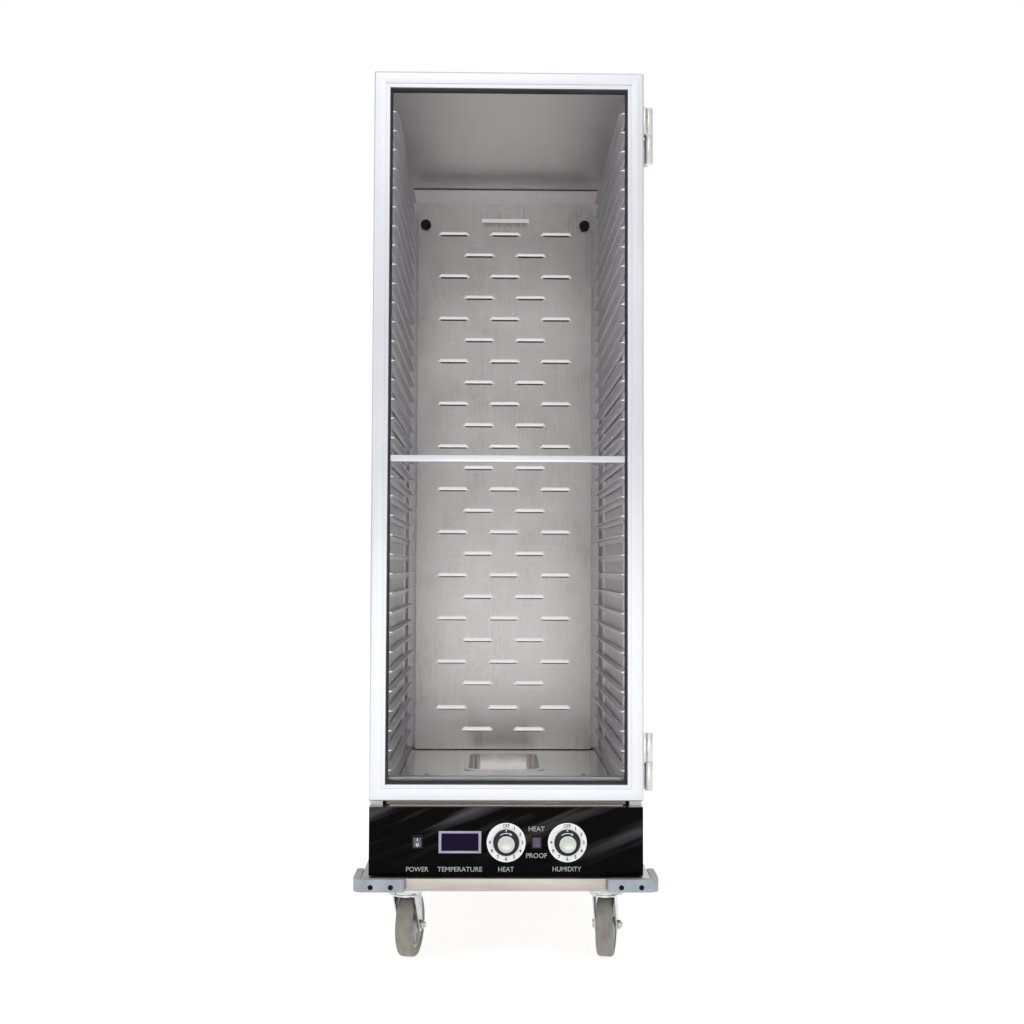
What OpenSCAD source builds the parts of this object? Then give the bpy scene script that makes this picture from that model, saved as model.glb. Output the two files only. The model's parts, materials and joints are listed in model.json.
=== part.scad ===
// Full-height proofing cabinet on castors: clear hinged door, tray slides at both sides,
// louvred air duct at the back and a slide-out heater module under the cavity.
// Millimetres. +X is the hinge side, -Y the front, Z = 0 the floor under the castors.

/* [Cabinet] */
// Width of the body and of the door
body_w = 523; // [500:1:560]
// Depth of the body behind the door seal
body_d = 778; // [740:1:860]
// Height of the roof above the floor
roof_z = 1727; // [1700:1:1800]
// Thickness of the double side walls
side_wall_t = 24; // [18:0.5:32]
// Thickness of the aluminium sheet
sheet_t = 1.2; // [0.8:0.1:2]
// Height of the sill's top edge
sill_z = 350; // [340:1:360]

/* [Base] */
// Lower face of the base frame
base_z = 141; // [130:1:150]
// Height of the base frame
base_h = 24; // [18:1:30]
// How far the base stands out past the body
base_lip = 14; // [8:1:20]
// Thickness of the corner bumpers
bumper_t = 14; // [8:1:20]
// Length of each arm of a corner bumper
bumper_arm = 98; // [60:1:140]

/* [Castors] */
// Radius of a castor's tread
wheel_r = 60.5; // [50:0.5:60.5]
// Width of a castor's tread
wheel_w = 31; // [24:1:32]
// Distance of the axle from the king pin
castor_trail = 30; // [20:1:34]
// Angle at which the castors stand
castor_yaw = -11; // [-20:1:20]
// King pin's distance from the middle, sideways
castor_x = 191; // [170:1:200]
// King pin's distance from the middle, front to back
castor_y = 368; // [330:1:368]

/* [Door] */
// Bottom edge of the door
door_z0 = 309.6; // [305:0.1:312]
// Top edge of the door
door_z1 = 1714.5; // [1690:0.5:1725]
// Thickness of the door's extrusions
door_t = 30; // [24:1:36]
// Width of the door's extrusions
door_rail_w = 31.2; // [26:0.2:40]
// Thickness of the clear panes
pane_t = 4; // [3:0.5:5]
// Middle of the divider between the panes
mid_rail_z = 962.6; // [800:1:1200]

/* [Tray slides] */
// Pairs of slides
slide_n = 35; // [10:1:35]
// Height from one slide to the next
slide_pitch = 38.1; // [38.1:0.1:38.1]
// Top of the highest slide
slide_top_z = 1655.7; // [1640:0.1:1665]
// Length of a slide
slide_len = 661; // [600:1:670]
// Clear width between the slides of a pair
slide_clear = 440.4; // [430:0.2:446]

/* [Air duct] */
// Width of the louvred panel
duct_w = 431; // [400:1:440]
// Top edge of the louvred panel
duct_z1 = 1660; // [1600:1:1680]
// Rows of louvres
louvre_rows = 24; // [6:2:24]
// Height from one row of louvres to the next
louvre_pitch = 52.95; // [50:0.05:54]
// Length of a louvre
louvre_len = 80; // [60:1:100]

/* [Heater module] */
// Top of the floor plate
floor_z = 306.8; // [306:0.1:307]
// Width of the floor plate
floor_w = 448; // [440:1:452]
// Bottom edge of the control panel
panel_z0 = 167; // [166.5:0.5:170]
// Top edge of the control panel
panel_z1 = 296.5; // [290:0.5:300]
// Height of the middle of the controls
control_z = 229.5; // [225:0.5:235]
// Radius of a knob's skirt
knob_r = 25; // [20:1:28]
// Width of the water pan's rim
pan_w = 178; // [160:1:200]
// Length of the water pan's rim
pan_l = 272; // [240:1:325]
// Depth of the water pan
pan_h = 60; // [40:1:80]

/* [Hidden] */
$fn = 48;

eps = 0.05;          // overlap that joins touching shapes
gap = 0.3;           // air between pieces that move past each other
run_fit = 0.05;      // radial clearance of a pin that turns in its hole

// cabinet
seal_t = 6;
body_back = body_d / 2 + 11;
body_front = body_back - body_d;
door_back = body_front - seal_t;
door_face = door_back - door_t;
half_w = body_w / 2;
inner_x = half_w - side_wall_t;
base_top = base_z + base_h;
base_x = half_w + base_lip;
base_y = body_back + base_lip + 1;
bumper_screw_at = [34, 72];
roof_wall_t = 17;
back_wall_t = 22;
ceiling_z = roof_z - roof_wall_t;
liner_back_y = body_back - back_wall_t;
frame_t = 2;
frame_back = body_front + frame_t;
sill_d = 20;
sill_z0 = door_z0 + 0.8;
liner_flange = 12;

// castors
axle_r = 5;
king_r = 6;
race_r = 26;
plate_size = [66, 92, 3];
crown_t = 3;
crown_z = 127.5;
fork_leg_t = 2.5;
fork_leg_x = 19.5;
hub_r = 44;
hub_half_w = 17;

// door
face_w = 23;
bead_back = 10.5;
pane_y = door_face + 16;
gasket_in = 4;
pane_bite = 2.5;
door_in_x = half_w - door_rail_w;
door_in_z0 = door_z0 + door_rail_w;
door_in_z1 = door_z1 - door_rail_w;
mid_rail_h = 13;
pane_groove = 4.5;
pane_edge = mid_rail_h / 2 - pane_groove;
door_h = door_z1 - door_z0;

// hinges: vertical pins beside the door's edge
hinge_x = half_w + 11.5;
hinge_y = door_face + 20;
hinge_barrel_r = 8;
hinge_pin_r = 4;
hinge_h = 110;
hinge_mids = [382.5, 1595.7];

// slides
slide_y0 = body_front + 20.7;
slide_t = 2.4;
post_t = 3;
post_w = 40;
post_inset = 95;
slide_web_h = 12;

// duct panel
duct_y = liner_back_y - 50.5;
duct_z0 = floor_z + 2.2;
louvre_r = 8;
louvre_top_z = 1587;
louvre_low_drop = 6.5;   // the two lowest rows sit a little lower
louvre_step_x = 127;
grip_z = 1612;
thumb_x = 197.3;
thumb_z = 1604;

// heater module
panel_y = body_front - 22;
panel_back = panel_y + 2;
module_front_d = 20;
module_back = liner_back_y - 8;
module_z0 = base_top + 1.6;
floor_back = duct_y - 5;
rocker_x = [-169, 58];
rocker_z = 231;
display_x = -88;
display_z = 230.5;
display_size = [81.4, 42];
window_size = [70.6, 33];
dial_x = [0, 116.7];
spindle_r = 3;
pan_y = 127;
pan_rim_z = floor_z + 1.4;
pan_r = 14;
pan_wall = 1;
rocker_tilt = 8;
rocker_size = [15, 19];
rocker_pivot_d = 6;
trunnion_r = 1.5;
blower_x = -150;
blower_y = 250;
blower_z = 234;
motor_len = 34;
cord_x = 120;        // the supply cord's gland, and the cut-outs it slides out through
cord_z = 235;
cord_hole = [90, 60];
wheel_fan_r = 48;
wheel_fan_w = 50;
blade_n = 24;

// ---- helpers

module box(x0, x1, y0, y1, z0, z1)
    translate([x0, y0, z0]) cube([x1 - x0, y1 - y0, z1 - z0]);

module both_sides() {
    children();
    mirror([1, 0, 0]) children();
}

// upright ring in the XZ plane: outer and inner edges, then front and back
module ring_xz(x_out, z0_out, z1_out, x_in, z0_in, z1_in, y0, y1) {
    difference() {
        box(-x_out, x_out, y0, y1, z0_out, z1_out);
        box(-x_in, x_in, y0 - 1, y1 + 1, z0_in, z1_in);
    }
}

module round_rect(w, l, r) {
    translate([-w / 2 + r, -l / 2]) square([w - 2 * r, l]);
    translate([-w / 2, -l / 2 + r]) square([w, l - 2 * r]);
    for (sx = [-1, 1], sy = [-1, 1])
        translate([sx * (w / 2 - r), sy * (l / 2 - r)]) circle(r);
}

// front castors trail backwards, rear castors forwards
module castor_at(sx, sy)
    translate([sx * castor_x, sy * castor_y, 0])
        rotate([0, 0, castor_yaw + (sy > 0 ? 180 : 0)]) children();

// ---- cabinet shell

module outer_side(sx)
    color("gainsboro") mirror([sx < 0 ? 1 : 0, 0, 0])
        box(half_w - sheet_t, half_w, frame_back, body_back, base_top, roof_z - sheet_t);

module outer_side_left() outer_side(-1);
module outer_side_right() outer_side(1);

module cord_cutout(y)
    box(cord_x - cord_hole[0] / 2, cord_x + cord_hole[0] / 2, y - 5, y + 5,
        cord_z - cord_hole[1] / 2, cord_z + cord_hole[1] / 2);

module outer_back()
    color("gainsboro") difference() {
        box(-half_w + sheet_t, half_w - sheet_t, body_back - sheet_t, body_back,
            base_top, roof_z - sheet_t);
        cord_cutout(body_back);
    }

module outer_top()
    color("gainsboro")
        box(-half_w, half_w, frame_back, body_back, roof_z - sheet_t, roof_z);

module liner_wrap() color("silver") {
    both_sides() {
        box(inner_x, inner_x + sheet_t, frame_back, liner_back_y, base_top, ceiling_z);
        box(inner_x - liner_flange, inner_x + eps, frame_back + sill_d + 2, liner_back_y,
            floor_z + 1.2, floor_z + 1.2 + sheet_t);
    }
    box(-inner_x - sheet_t, inner_x + sheet_t, frame_back, liner_back_y,
        ceiling_z - eps, ceiling_z + sheet_t);
}

module liner_back()
    color("silver") difference() {
        box(-inner_x - sheet_t, inner_x + sheet_t, liner_back_y, liner_back_y + sheet_t,
            base_top, ceiling_z + sheet_t);
        cord_cutout(liner_back_y);
    }

module front_frame() color("gainsboro") {
    difference() {
        box(-half_w, half_w, body_front, frame_back, base_top, roof_z);
        box(-inner_x, inner_x, body_front - 1, frame_back + 1, sill_z, ceiling_z);
        box(-inner_x, inner_x, body_front - 1, frame_back + 1, base_top - 1, sill_z0);
    }
    difference() {
        box(-inner_x, inner_x, body_front + eps, body_front + sill_d, sill_z0, sill_z);
        box(-inner_x + 2, inner_x - 2, frame_back, body_front + sill_d - 2,
            sill_z0 + 2, sill_z - 2);
    }
}

// ---- tray slides

// one slide on the right: a ledge with its front corner rounded, and a web down the posts
module tray_slide(z) {
    corner_r = 12;
    tip_x = slide_clear / 2;
    web_x = inner_x - post_t;
    translate([0, 0, z - slide_t]) linear_extrude(slide_t) {
        translate([tip_x, slide_y0 + corner_r]) square([web_x - tip_x, slide_len - corner_r]);
        translate([tip_x + corner_r, slide_y0])
            square([web_x - tip_x - corner_r, corner_r + eps]);
        intersection() {
            translate([tip_x + corner_r, slide_y0 + corner_r]) circle(corner_r);
            translate([tip_x, slide_y0]) square(corner_r + eps);
        }
    }
    box(web_x - 1.8, web_x, slide_y0, slide_y0 + slide_len, z - slide_web_h, z - eps);
}

module tray_slides_right()
    color([0.6, 0.6, 0.62])
        for (i = [0 : slide_n - 1]) tray_slide(slide_top_z - i * slide_pitch);

module tray_slides_left() mirror([1, 0, 0]) tray_slides_right();

module rack_posts() {
    slide_mid = slide_y0 + slide_len / 2;
    reach = slide_len / 2 - post_inset;
    z0 = slide_top_z - (slide_n - 1) * slide_pitch - 30;
    color("silver") both_sides()
        for (s = [-1, 1])
            box(inner_x - post_t, inner_x, slide_mid + s * reach - post_w / 2,
                slide_mid + s * reach + post_w / 2, z0, slide_top_z + 20);
}

// ---- air duct

module louvre(x, z) {
    wall = 1.2;
    taper = 8;
    tip = 0.4;
    // a quarter round pressed out of the sheet, its ends running out in cones, open below
    translate([x - louvre_len / 2, duct_y + eps, z]) rotate([0, 90, 0]) rotate([0, 0, 180])
        rotate_extrude(angle = 90) polygon([
            [tip, 0], [louvre_r, taper], [louvre_r, louvre_len - taper], [tip, louvre_len],
            [tip, louvre_len - 2 * wall], [louvre_r - wall, louvre_len - taper - wall],
            [louvre_r - wall, taper + wall], [tip, 2 * wall]]);
}

function louvre_xs(row) = row % 2 == 0 ? [-1, 0, 1] : [-0.5, 0.5];
function louvre_lip(row) = louvre_top_z - louvre_r - row * louvre_pitch
    - (row >= louvre_rows - 2 ? louvre_low_drop : 0);

module duct_panel() {
    slot_len = louvre_len - 16;
    slot_h = 7.6;
    slot_drop = 3;
    color("silver") {
        difference() {
            box(-duct_w / 2, duct_w / 2, duct_y, duct_y + sheet_t, duct_z0, duct_z1);
            for (row = [0 : louvre_rows - 1], k = louvre_xs(row))
                translate([k * louvre_step_x - slot_len / 2, duct_y - 1, louvre_lip(row) - slot_drop])
                    cube([slot_len, 4, slot_h]);
            for (sx = [-1, 1])
                translate([sx * thumb_x, duct_y - 1, thumb_z]) rotate([-90, 0, 0]) cylinder(h = 4, r = 3);
        }
        for (row = [0 : louvre_rows - 1], k = louvre_xs(row))
            louvre(k * louvre_step_x, louvre_lip(row));
        both_sides()
            box(duct_w / 2 - sheet_t, duct_w / 2, duct_y + eps, liner_back_y, duct_z0, duct_z1);
    }
}

module duct_panel_handle() {
    grip_w = 117;
    grip_h = 9;
    stand_off = 20;
    color("gainsboro") {
        box(-grip_w / 2, grip_w / 2, duct_y - stand_off, duct_y - stand_off + 3,
            grip_z - grip_h / 2, grip_z + grip_h / 2);
        both_sides()
            box(grip_w / 2 - 3, grip_w / 2, duct_y - stand_off + eps, duct_y,
                grip_z - grip_h / 2, grip_z + grip_h / 2);
    }
}

module duct_panel_knobs() {
    thumb_r = 13;
    color([0.06, 0.06, 0.07]) both_sides()
        translate([thumb_x, duct_y, thumb_z]) rotate([90, 0, 0]) {
            cylinder(h = 12, r = thumb_r);
            translate([0, 0, -2.5]) cylinder(h = 2.5 + eps, r = 2.9);
        }
}

// ---- base and castor plates

module base_frame() {
    wall = 3;
    rim = 30;
    beam_d = 108;
    color([0.83, 0.81, 0.78]) difference() {
        box(-base_x, base_x, -base_y, base_y, base_z, base_top);
        box(-base_x + wall, base_x - wall, -base_y + wall, base_y - wall,
            base_z + wall, base_top - wall);
        box(-base_x + rim, base_x - rim, -base_y + beam_d, base_y - beam_d,
            base_z - 1, base_z + wall + 1);
    }
}

// outline of the front right bumper, seen from above; the corner is rounded
module bumper_outline() {
    nose_r = bumper_t + 6;
    end_r = bumper_t / 2;
    x1 = base_x + bumper_t;
    y1 = base_y + bumper_t;
    difference() {
        union() {
            translate([x1 - bumper_arm + end_r, -y1]) square([bumper_arm - end_r - nose_r, bumper_t]);
            translate([x1 - bumper_t, -y1 + nose_r]) square([bumper_t, bumper_arm - end_r - nose_r]);
            translate([x1 - nose_r, -y1 + nose_r]) circle(nose_r);
            translate([x1 - bumper_arm + end_r, -y1 + end_r]) circle(end_r);
            translate([x1 - end_r, -y1 + bumper_arm - end_r]) circle(end_r);
        }
        translate([x1 - bumper_t - bumper_arm, -y1 + bumper_t]) square(bumper_arm);
    }
}

module corner_bumpers()
    color([0.7, 0.73, 0.77])
        for (mx = [0, 1], my = [0, 1])
            mirror([mx, 0, 0]) mirror([0, my, 0])
                translate([0, 0, base_z + 1]) difference() {
                    linear_extrude(base_h) bumper_outline();
                    for (d = bumper_screw_at) bumper_screw_hole(d);
                }

module bumper_screw_hole(d) {
    x1 = base_x + bumper_t;
    y1 = base_y + bumper_t;
    translate([x1 - d, -y1 - 1, base_h / 2 - 3]) rotate([-90, 0, 0]) cylinder(h = 5, r = 5);
    translate([x1 + 1, -y1 + d, base_h / 2 - 3]) rotate([0, -90, 0]) cylinder(h = 5, r = 5);
}

module bumper_screw() {
    difference() {
        cylinder(h = 3, r = 4.6);
        translate([0, 0, 1.4]) cylinder(h = 3, r = 2.4, $fn = 6);
    }
}

module bumper_screws() {
    x1 = base_x + bumper_t;
    y1 = base_y + bumper_t;
    z = base_z + 1 + base_h / 2 - 3;
    color([0.08, 0.08, 0.09])
        for (mx = [0, 1], my = [0, 1], d = bumper_screw_at)
            mirror([mx, 0, 0]) mirror([0, my, 0]) {
                translate([x1 - d, -y1 + 4, z]) rotate([90, 0, 0]) bumper_screw();
                translate([x1 - 4, -y1 + d, z]) rotate([0, 90, 0]) bumper_screw();
            }
}

// plates bolted under the base, each with the fixed half of its swivel race and its king pin
module castor_plates() {
    bolt_x = plate_size[0] / 2 - 9;
    bolt_y = plate_size[1] / 2 - 9;
    plate_z = base_z - plate_size[2];
    color([0.75, 0.76, 0.78])
        for (sx = [-1, 1], sy = [-1, 1]) translate([sx * castor_x, sy * castor_y, 0]) {
            translate([-plate_size[0] / 2, -plate_size[1] / 2, plate_z]) cube(plate_size);
            translate([0, 0, crown_z + gap]) cylinder(h = plate_z - crown_z, r = race_r);
            translate([0, 0, crown_z - crown_t - 2]) cylinder(h = 10, r = king_r);
            translate([0, 0, crown_z - crown_t - 5]) cylinder(h = 5 - gap, r = 10, $fn = 6);
            for (bx = [-1, 1], by = [-1, 1])
                translate([bx * bolt_x, by * bolt_y, plate_z - 5])
                    cylinder(h = 5 + eps, r = 6.5, $fn = 6);
        }
}

// ---- castors

// side outline of a fork leg: local Y forward from the king pin, Z up
module fork_leg_outline() {
    toe = 13;
    polygon([[-22, crown_z], [28, crown_z], [castor_trail + toe, wheel_r + 4],
        [castor_trail + toe, wheel_r - 2], [castor_trail - toe, wheel_r - 2]]);
    translate([castor_trail, wheel_r]) circle(toe);
}

module castor_fork() {
    crown_x = fork_leg_x + fork_leg_t;
    color([0.8, 0.81, 0.83]) difference() {
        union() {
            both_sides()
                translate([fork_leg_x, 0, 0]) rotate([90, 0, 90])
                    linear_extrude(fork_leg_t) fork_leg_outline();
            translate([0, 0, crown_z - crown_t]) cylinder(h = crown_t, r = race_r + 1);
            box(-crown_x, crown_x, -22, 28, crown_z - crown_t, crown_z);
        }
        translate([0, 0, crown_z - 10]) cylinder(h = 20, r = king_r + run_fit);
        translate([-50, castor_trail, wheel_r]) rotate([0, 90, 0]) cylinder(h = 100, r = axle_r);
    }
}

module castor_axle() {
    leg_out = fork_leg_x + fork_leg_t;
    color([0.82, 0.83, 0.85]) translate([0, castor_trail, wheel_r]) rotate([0, 90, 0]) {
        translate([0, 0, -leg_out]) cylinder(h = 2 * leg_out + 9, r = axle_r);
        translate([0, 0, -leg_out - 5]) cylinder(h = 5, r = 9, $fn = 6);
        translate([0, 0, leg_out]) cylinder(h = 6, r = 9, $fn = 6);
    }
}

module castor_hub() {
    web_t = 10;
    color([0.72, 0.72, 0.73]) translate([0, castor_trail, wheel_r]) rotate([0, 90, 0])
        rotate_extrude() {
            translate([axle_r + run_fit, -hub_half_w]) square([9, 2 * hub_half_w]);
            translate([axle_r + 5, -web_t / 2]) square([hub_r - axle_r - 5, web_t]);
            translate([hub_r - 6, -wheel_w / 2 + 2]) square([6, wheel_w - 4]);
        }
}

module castor_tyre() {
    edge_r = 5;
    half = wheel_w / 2;
    color([0.49, 0.47, 0.44]) translate([0, castor_trail, wheel_r]) rotate([0, 90, 0])
        rotate_extrude() {
            translate([hub_r, -half]) square([wheel_r - edge_r - hub_r, 2 * half]);
            translate([hub_r, -half + edge_r]) square([wheel_r - hub_r, 2 * (half - edge_r)]);
            for (s = [-1, 1])
                translate([wheel_r - edge_r, s * (half - edge_r)]) circle(edge_r);
        }
}

// ---- door

// section of a door extrusion: X inwards from the door's outer edge, Y backwards from its face
module door_section() {
    wall = 1.8;
    edge_r = 5;
    crown_r = 130;
    difference() {
        intersection() {
            union() {
                translate([edge_r, 0]) square([face_w - edge_r, door_t]);
                translate([0, edge_r]) square([edge_r + eps, door_t - edge_r]);
                translate([edge_r, edge_r]) circle(edge_r);
            }
            translate([face_w / 2, crown_r]) circle(crown_r, $fn = 96);
        }
        translate([wall + 1.5, wall + 2.5]) square([face_w - 2 * wall - 1.5, door_t - 2 * wall - 2.5]);
    }
    translate([face_w - eps, 3]) square([door_rail_w - face_w - 2, bead_back - 0.3]);
    translate([face_w - eps, 5]) square([door_rail_w - face_w + eps, bead_back - 2.3]);
    translate([door_rail_w - 2, 5]) circle(2);
    translate([face_w - eps, door_t - 7]) square([6, 7]);
}

// the section run along Z from the origin, its outer edge at x = 0
module door_bar(length) linear_extrude(length) door_section();

// the mitre that one side of the frame fills: outer edge at x = 0, from z = 0 to length
module mitre(length)
    translate([0, door_t + 1, 0]) rotate([90, 0, 0]) linear_extrude(door_t + 2)
        polygon([[0, 0], [0, length], [door_rail_w + 1, length - door_rail_w - 1],
            [door_rail_w + 1, door_rail_w + 1]]);

module mitred_bar(length) intersection() {
    door_bar(length);
    mitre(length);
}

module door_stile_left()
    color("whitesmoke") translate([-half_w, door_face, door_z0]) mitred_bar(door_h);

module door_stile_right()
    color("whitesmoke") translate([half_w, door_face, door_z0]) mirror([1, 0, 0]) mitred_bar(door_h);

module door_rail_bottom()
    color("whitesmoke") translate([half_w, door_face, door_z0]) rotate([0, -90, 0]) mitred_bar(body_w);

module door_rail_top()
    color("whitesmoke") translate([half_w, door_face, door_z1]) mirror([0, 0, 1])
        rotate([0, -90, 0]) mitred_bar(body_w);

// divider: an H section that holds an edge of each pane
module door_mid_rail() {
    x = door_in_x - gasket_in - 0.2;
    color("whitesmoke") difference() {
        box(-x, x, pane_y - 4.5, pane_y + pane_t + 2.5, mid_rail_z - mid_rail_h / 2,
            mid_rail_z + mid_rail_h / 2);
        for (s = [-1, 1])
            translate([-x - 1, pane_y, mid_rail_z + s * (mid_rail_h / 2 - pane_groove / 2) - pane_groove / 2])
                cube([2 * x + 2, pane_t, pane_groove]);
    }
}

module door_pane(z0, z1)
    color([0.85, 0.9, 0.95, 0.3])
        box(-door_in_x - pane_bite, door_in_x + pane_bite, pane_y, pane_y + pane_t, z0, z1);

module door_pane_upper() door_pane(mid_rail_z + pane_edge, door_in_z1 + pane_bite);
module door_pane_lower() door_pane(door_in_z0 - pane_bite, mid_rail_z - pane_edge);

module glazing_gasket() {
    lip = gasket_in;
    out = pane_bite + 4;
    color([0.06, 0.06, 0.07]) difference() {
        ring_xz(door_in_x + out, door_in_z0 - out, door_in_z1 + out,
            door_in_x - lip, door_in_z0 + lip, door_in_z1 - lip,
            pane_y - 2.5, pane_y + pane_t + 2.5);
        box(-door_in_x - pane_bite, door_in_x + pane_bite, pane_y, pane_y + pane_t,
            door_in_z0 - pane_bite, door_in_z1 + pane_bite);
    }
}

module door_seal() {
    out = 8;
    seal_w = 12;
    color([0.16, 0.16, 0.17])
        ring_xz(half_w - out, door_z0 + out, door_z1 - out,
            half_w - out - seal_w, door_z0 + out + seal_w, door_z1 - out - seal_w,
            door_back, body_front - gap);
}

// ---- hinges

// lower half, on the cabinet: a leaf along the body's side, a knuckle and the pin
module hinge_leaves_cabinet() {
    knuckle_h = hinge_h / 2 - gap / 2;
    leaf_t = 3;
    color([0.84, 0.84, 0.82])
        for (mid = hinge_mids) translate([0, 0, mid - hinge_h / 2]) {
            translate([hinge_x, hinge_y, 0]) {
                cylinder(h = knuckle_h, r = hinge_barrel_r);
                cylinder(h = hinge_h - 6, r = hinge_pin_r);
            }
            translate([half_w, hinge_y, 0]) {
                translate([0, 15, 0]) cube([leaf_t, 45, knuckle_h]);
                translate([0, 15, 0]) cube([11.5, 3, knuckle_h]);
                translate([8.5, 0, 0]) cube([3, 16, knuckle_h]);
            }
        }
}

// upper half, on the door's edge
module hinge_leaves_door() {
    knuckle_h = hinge_h / 2 - gap / 2;
    leaf_t = 4;
    color([0.84, 0.84, 0.82])
        for (mid = hinge_mids) translate([0, 0, mid + gap / 2]) difference() {
            union() {
                translate([hinge_x, hinge_y, 0]) cylinder(h = knuckle_h, r = hinge_barrel_r);
                translate([half_w, hinge_y - 16, 0]) cube([leaf_t, 24, knuckle_h]);
            }
            translate([hinge_x, hinge_y, -1])
                cylinder(h = knuckle_h - 3, r = hinge_pin_r + run_fit);
        }
}

// ---- heater module

module module_tray() {
    x = floor_w / 2;
    y0 = panel_back + module_front_d;
    color("silver") {
        difference() {
            box(-x, x, y0 - 2, module_back, module_z0, floor_z - sheet_t);
            box(-x + sheet_t, x - sheet_t, y0, module_back - sheet_t,
                module_z0 + sheet_t, floor_z + 1);
            box(-x - 1, x + 1, y0 - 3, y0 + 2, panel_z1 + 1, floor_z);
            translate([cord_x, module_back - 5, cord_z]) rotate([-90, 0, 0]) cylinder(h = 10, r = 9);
        }
        difference() {
            box(-half_w, half_w, panel_back, y0, panel_z0, panel_z1);
            box(-half_w + sheet_t, half_w - sheet_t, panel_back - 1, y0 - sheet_t,
                panel_z0 + sheet_t, panel_z1 - sheet_t);
            box(-x + 2, x - 2, panel_back, y0 + 1, panel_z0 + 4, panel_z1 - 4);
        }
    }
}

module control_panel() {
    color([0.05, 0.05, 0.06]) difference() {
        box(-half_w, half_w, panel_y, panel_back, panel_z0, panel_z1);
        for (x = dial_x)
            translate([x, panel_y - 1, control_z]) rotate([-90, 0, 0])
                cylinder(h = 4, r = spindle_r + run_fit);
        for (x = rocker_x)
            box(x - 8.5, x + 8.5, panel_y - 1, panel_back + 1, rocker_z - 11.5, rocker_z + 11.5);
        box(display_x - window_size[0] / 2 - 1, display_x + window_size[0] / 2 + 1,
            panel_y - 1, panel_back + 1,
            display_z - window_size[1] / 2 - 1, display_z + window_size[1] / 2 + 1);
    }
}

module display_bezel() {
    proud = 3;
    w = window_size / 2;
    color([0.6, 0.6, 0.67]) {
        difference() {
            box(display_x - display_size[0] / 2, display_x + display_size[0] / 2,
                panel_y - proud, panel_y, display_z - display_size[1] / 2,
                display_z + display_size[1] / 2);
            box(display_x - w[0], display_x + w[0], panel_y - proud - 1, panel_y + 1,
                display_z - w[1], display_z + w[1]);
        }
        difference() {
            box(display_x - w[0] - 1, display_x + w[0] + 1, panel_y - eps, panel_y + 16,
                display_z - w[1] - 1, display_z + w[1] + 1);
            box(display_x - w[0], display_x + w[0], panel_y - 1, panel_y + 15,
                display_z - w[1], display_z + w[1]);
        }
    }
}

module display_window() {
    w = window_size / 2;
    color([0.07, 0.05, 0.12])
        box(display_x - w[0], display_x + w[0], panel_y - 1.5, panel_y + 1.5,
            display_z - w[1], display_z + w[1]);
}

module switch_housings() {
    lip = [10, 12.6];
    inner = [8, 10.7];
    depth = 16;
    color([0.1, 0.1, 0.11]) for (x = rocker_x) difference() {
        union() {
            box(x - lip[0], x + lip[0], panel_y - 1.6, panel_y, rocker_z - lip[1], rocker_z + lip[1]);
            box(x - 8.5, x + 8.5, panel_y - eps, panel_y + depth, rocker_z - 11.5, rocker_z + 11.5);
        }
        box(x - inner[0], x + inner[0], panel_y - 3, panel_y + depth - 2,
            rocker_z - inner[1], rocker_z + inner[1]);
        translate([x - 10, panel_y + rocker_pivot_d, rocker_z]) rotate([0, 90, 0])
            cylinder(h = 20, r = trunnion_r + run_fit);
    }
}

// rocker at its resting tilt: a shallow V face over a rounded back, on a trunnion at each side
module rocker(x) {
    half_h = rocker_size[1] / 2;
    trunnion_len = rocker_size[0] + 1.8;
    translate([x - trunnion_len / 2, panel_y + rocker_pivot_d, rocker_z]) rotate([0, 90, 0])
        cylinder(h = trunnion_len, r = trunnion_r);
    translate([x - rocker_size[0] / 2, panel_y + rocker_pivot_d, rocker_z])
        rotate([rocker_tilt, 0, 0]) rotate([90, 0, 90])
            linear_extrude(rocker_size[0])
                polygon([[-8.5, half_h], [-7, 0], [-8.5, -half_h], [-2, -half_h],
                    [2.5, -4], [2.5, 4], [-2, half_h]]);
}

module power_rocker() color([0.35, 0.34, 0.4]) rocker(rocker_x[0]);
module mode_rocker() color([0.2, 0.19, 0.23]) rocker(rocker_x[1]);

module dial_knob(x) {
    skirt_t = 5;
    cap_r = 16;
    cap_h = 14;
    translate([x, panel_y - 0.5, control_z]) rotate([90, 0, 0]) {
        cylinder(h = skirt_t, r = knob_r);
        translate([0, 0, skirt_t - eps]) cylinder(h = cap_h, r = cap_r);
        translate([0, 0, -12]) cylinder(h = 12 + eps, r = spindle_r);
    }
}

module heat_knob() color([0.08, 0.08, 0.09]) dial_knob(dial_x[0]);
module humidity_knob() color([0.08, 0.08, 0.09]) dial_knob(dial_x[1]);

module floor_plate() {
    x = floor_w / 2;
    y0 = body_front + gap;
    color("silver") difference() {
        union() {
            box(-x, x, y0, floor_back, floor_z - sheet_t, floor_z);
            box(-x - 6, x + 6, y0, y0 + sheet_t, panel_z1 + 1.5, floor_z);
        }
        translate([0, pan_y, floor_z - 5]) linear_extrude(10)
            round_rect(pan_w - 14, pan_l - 14, pan_r);
    }
}

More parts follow.
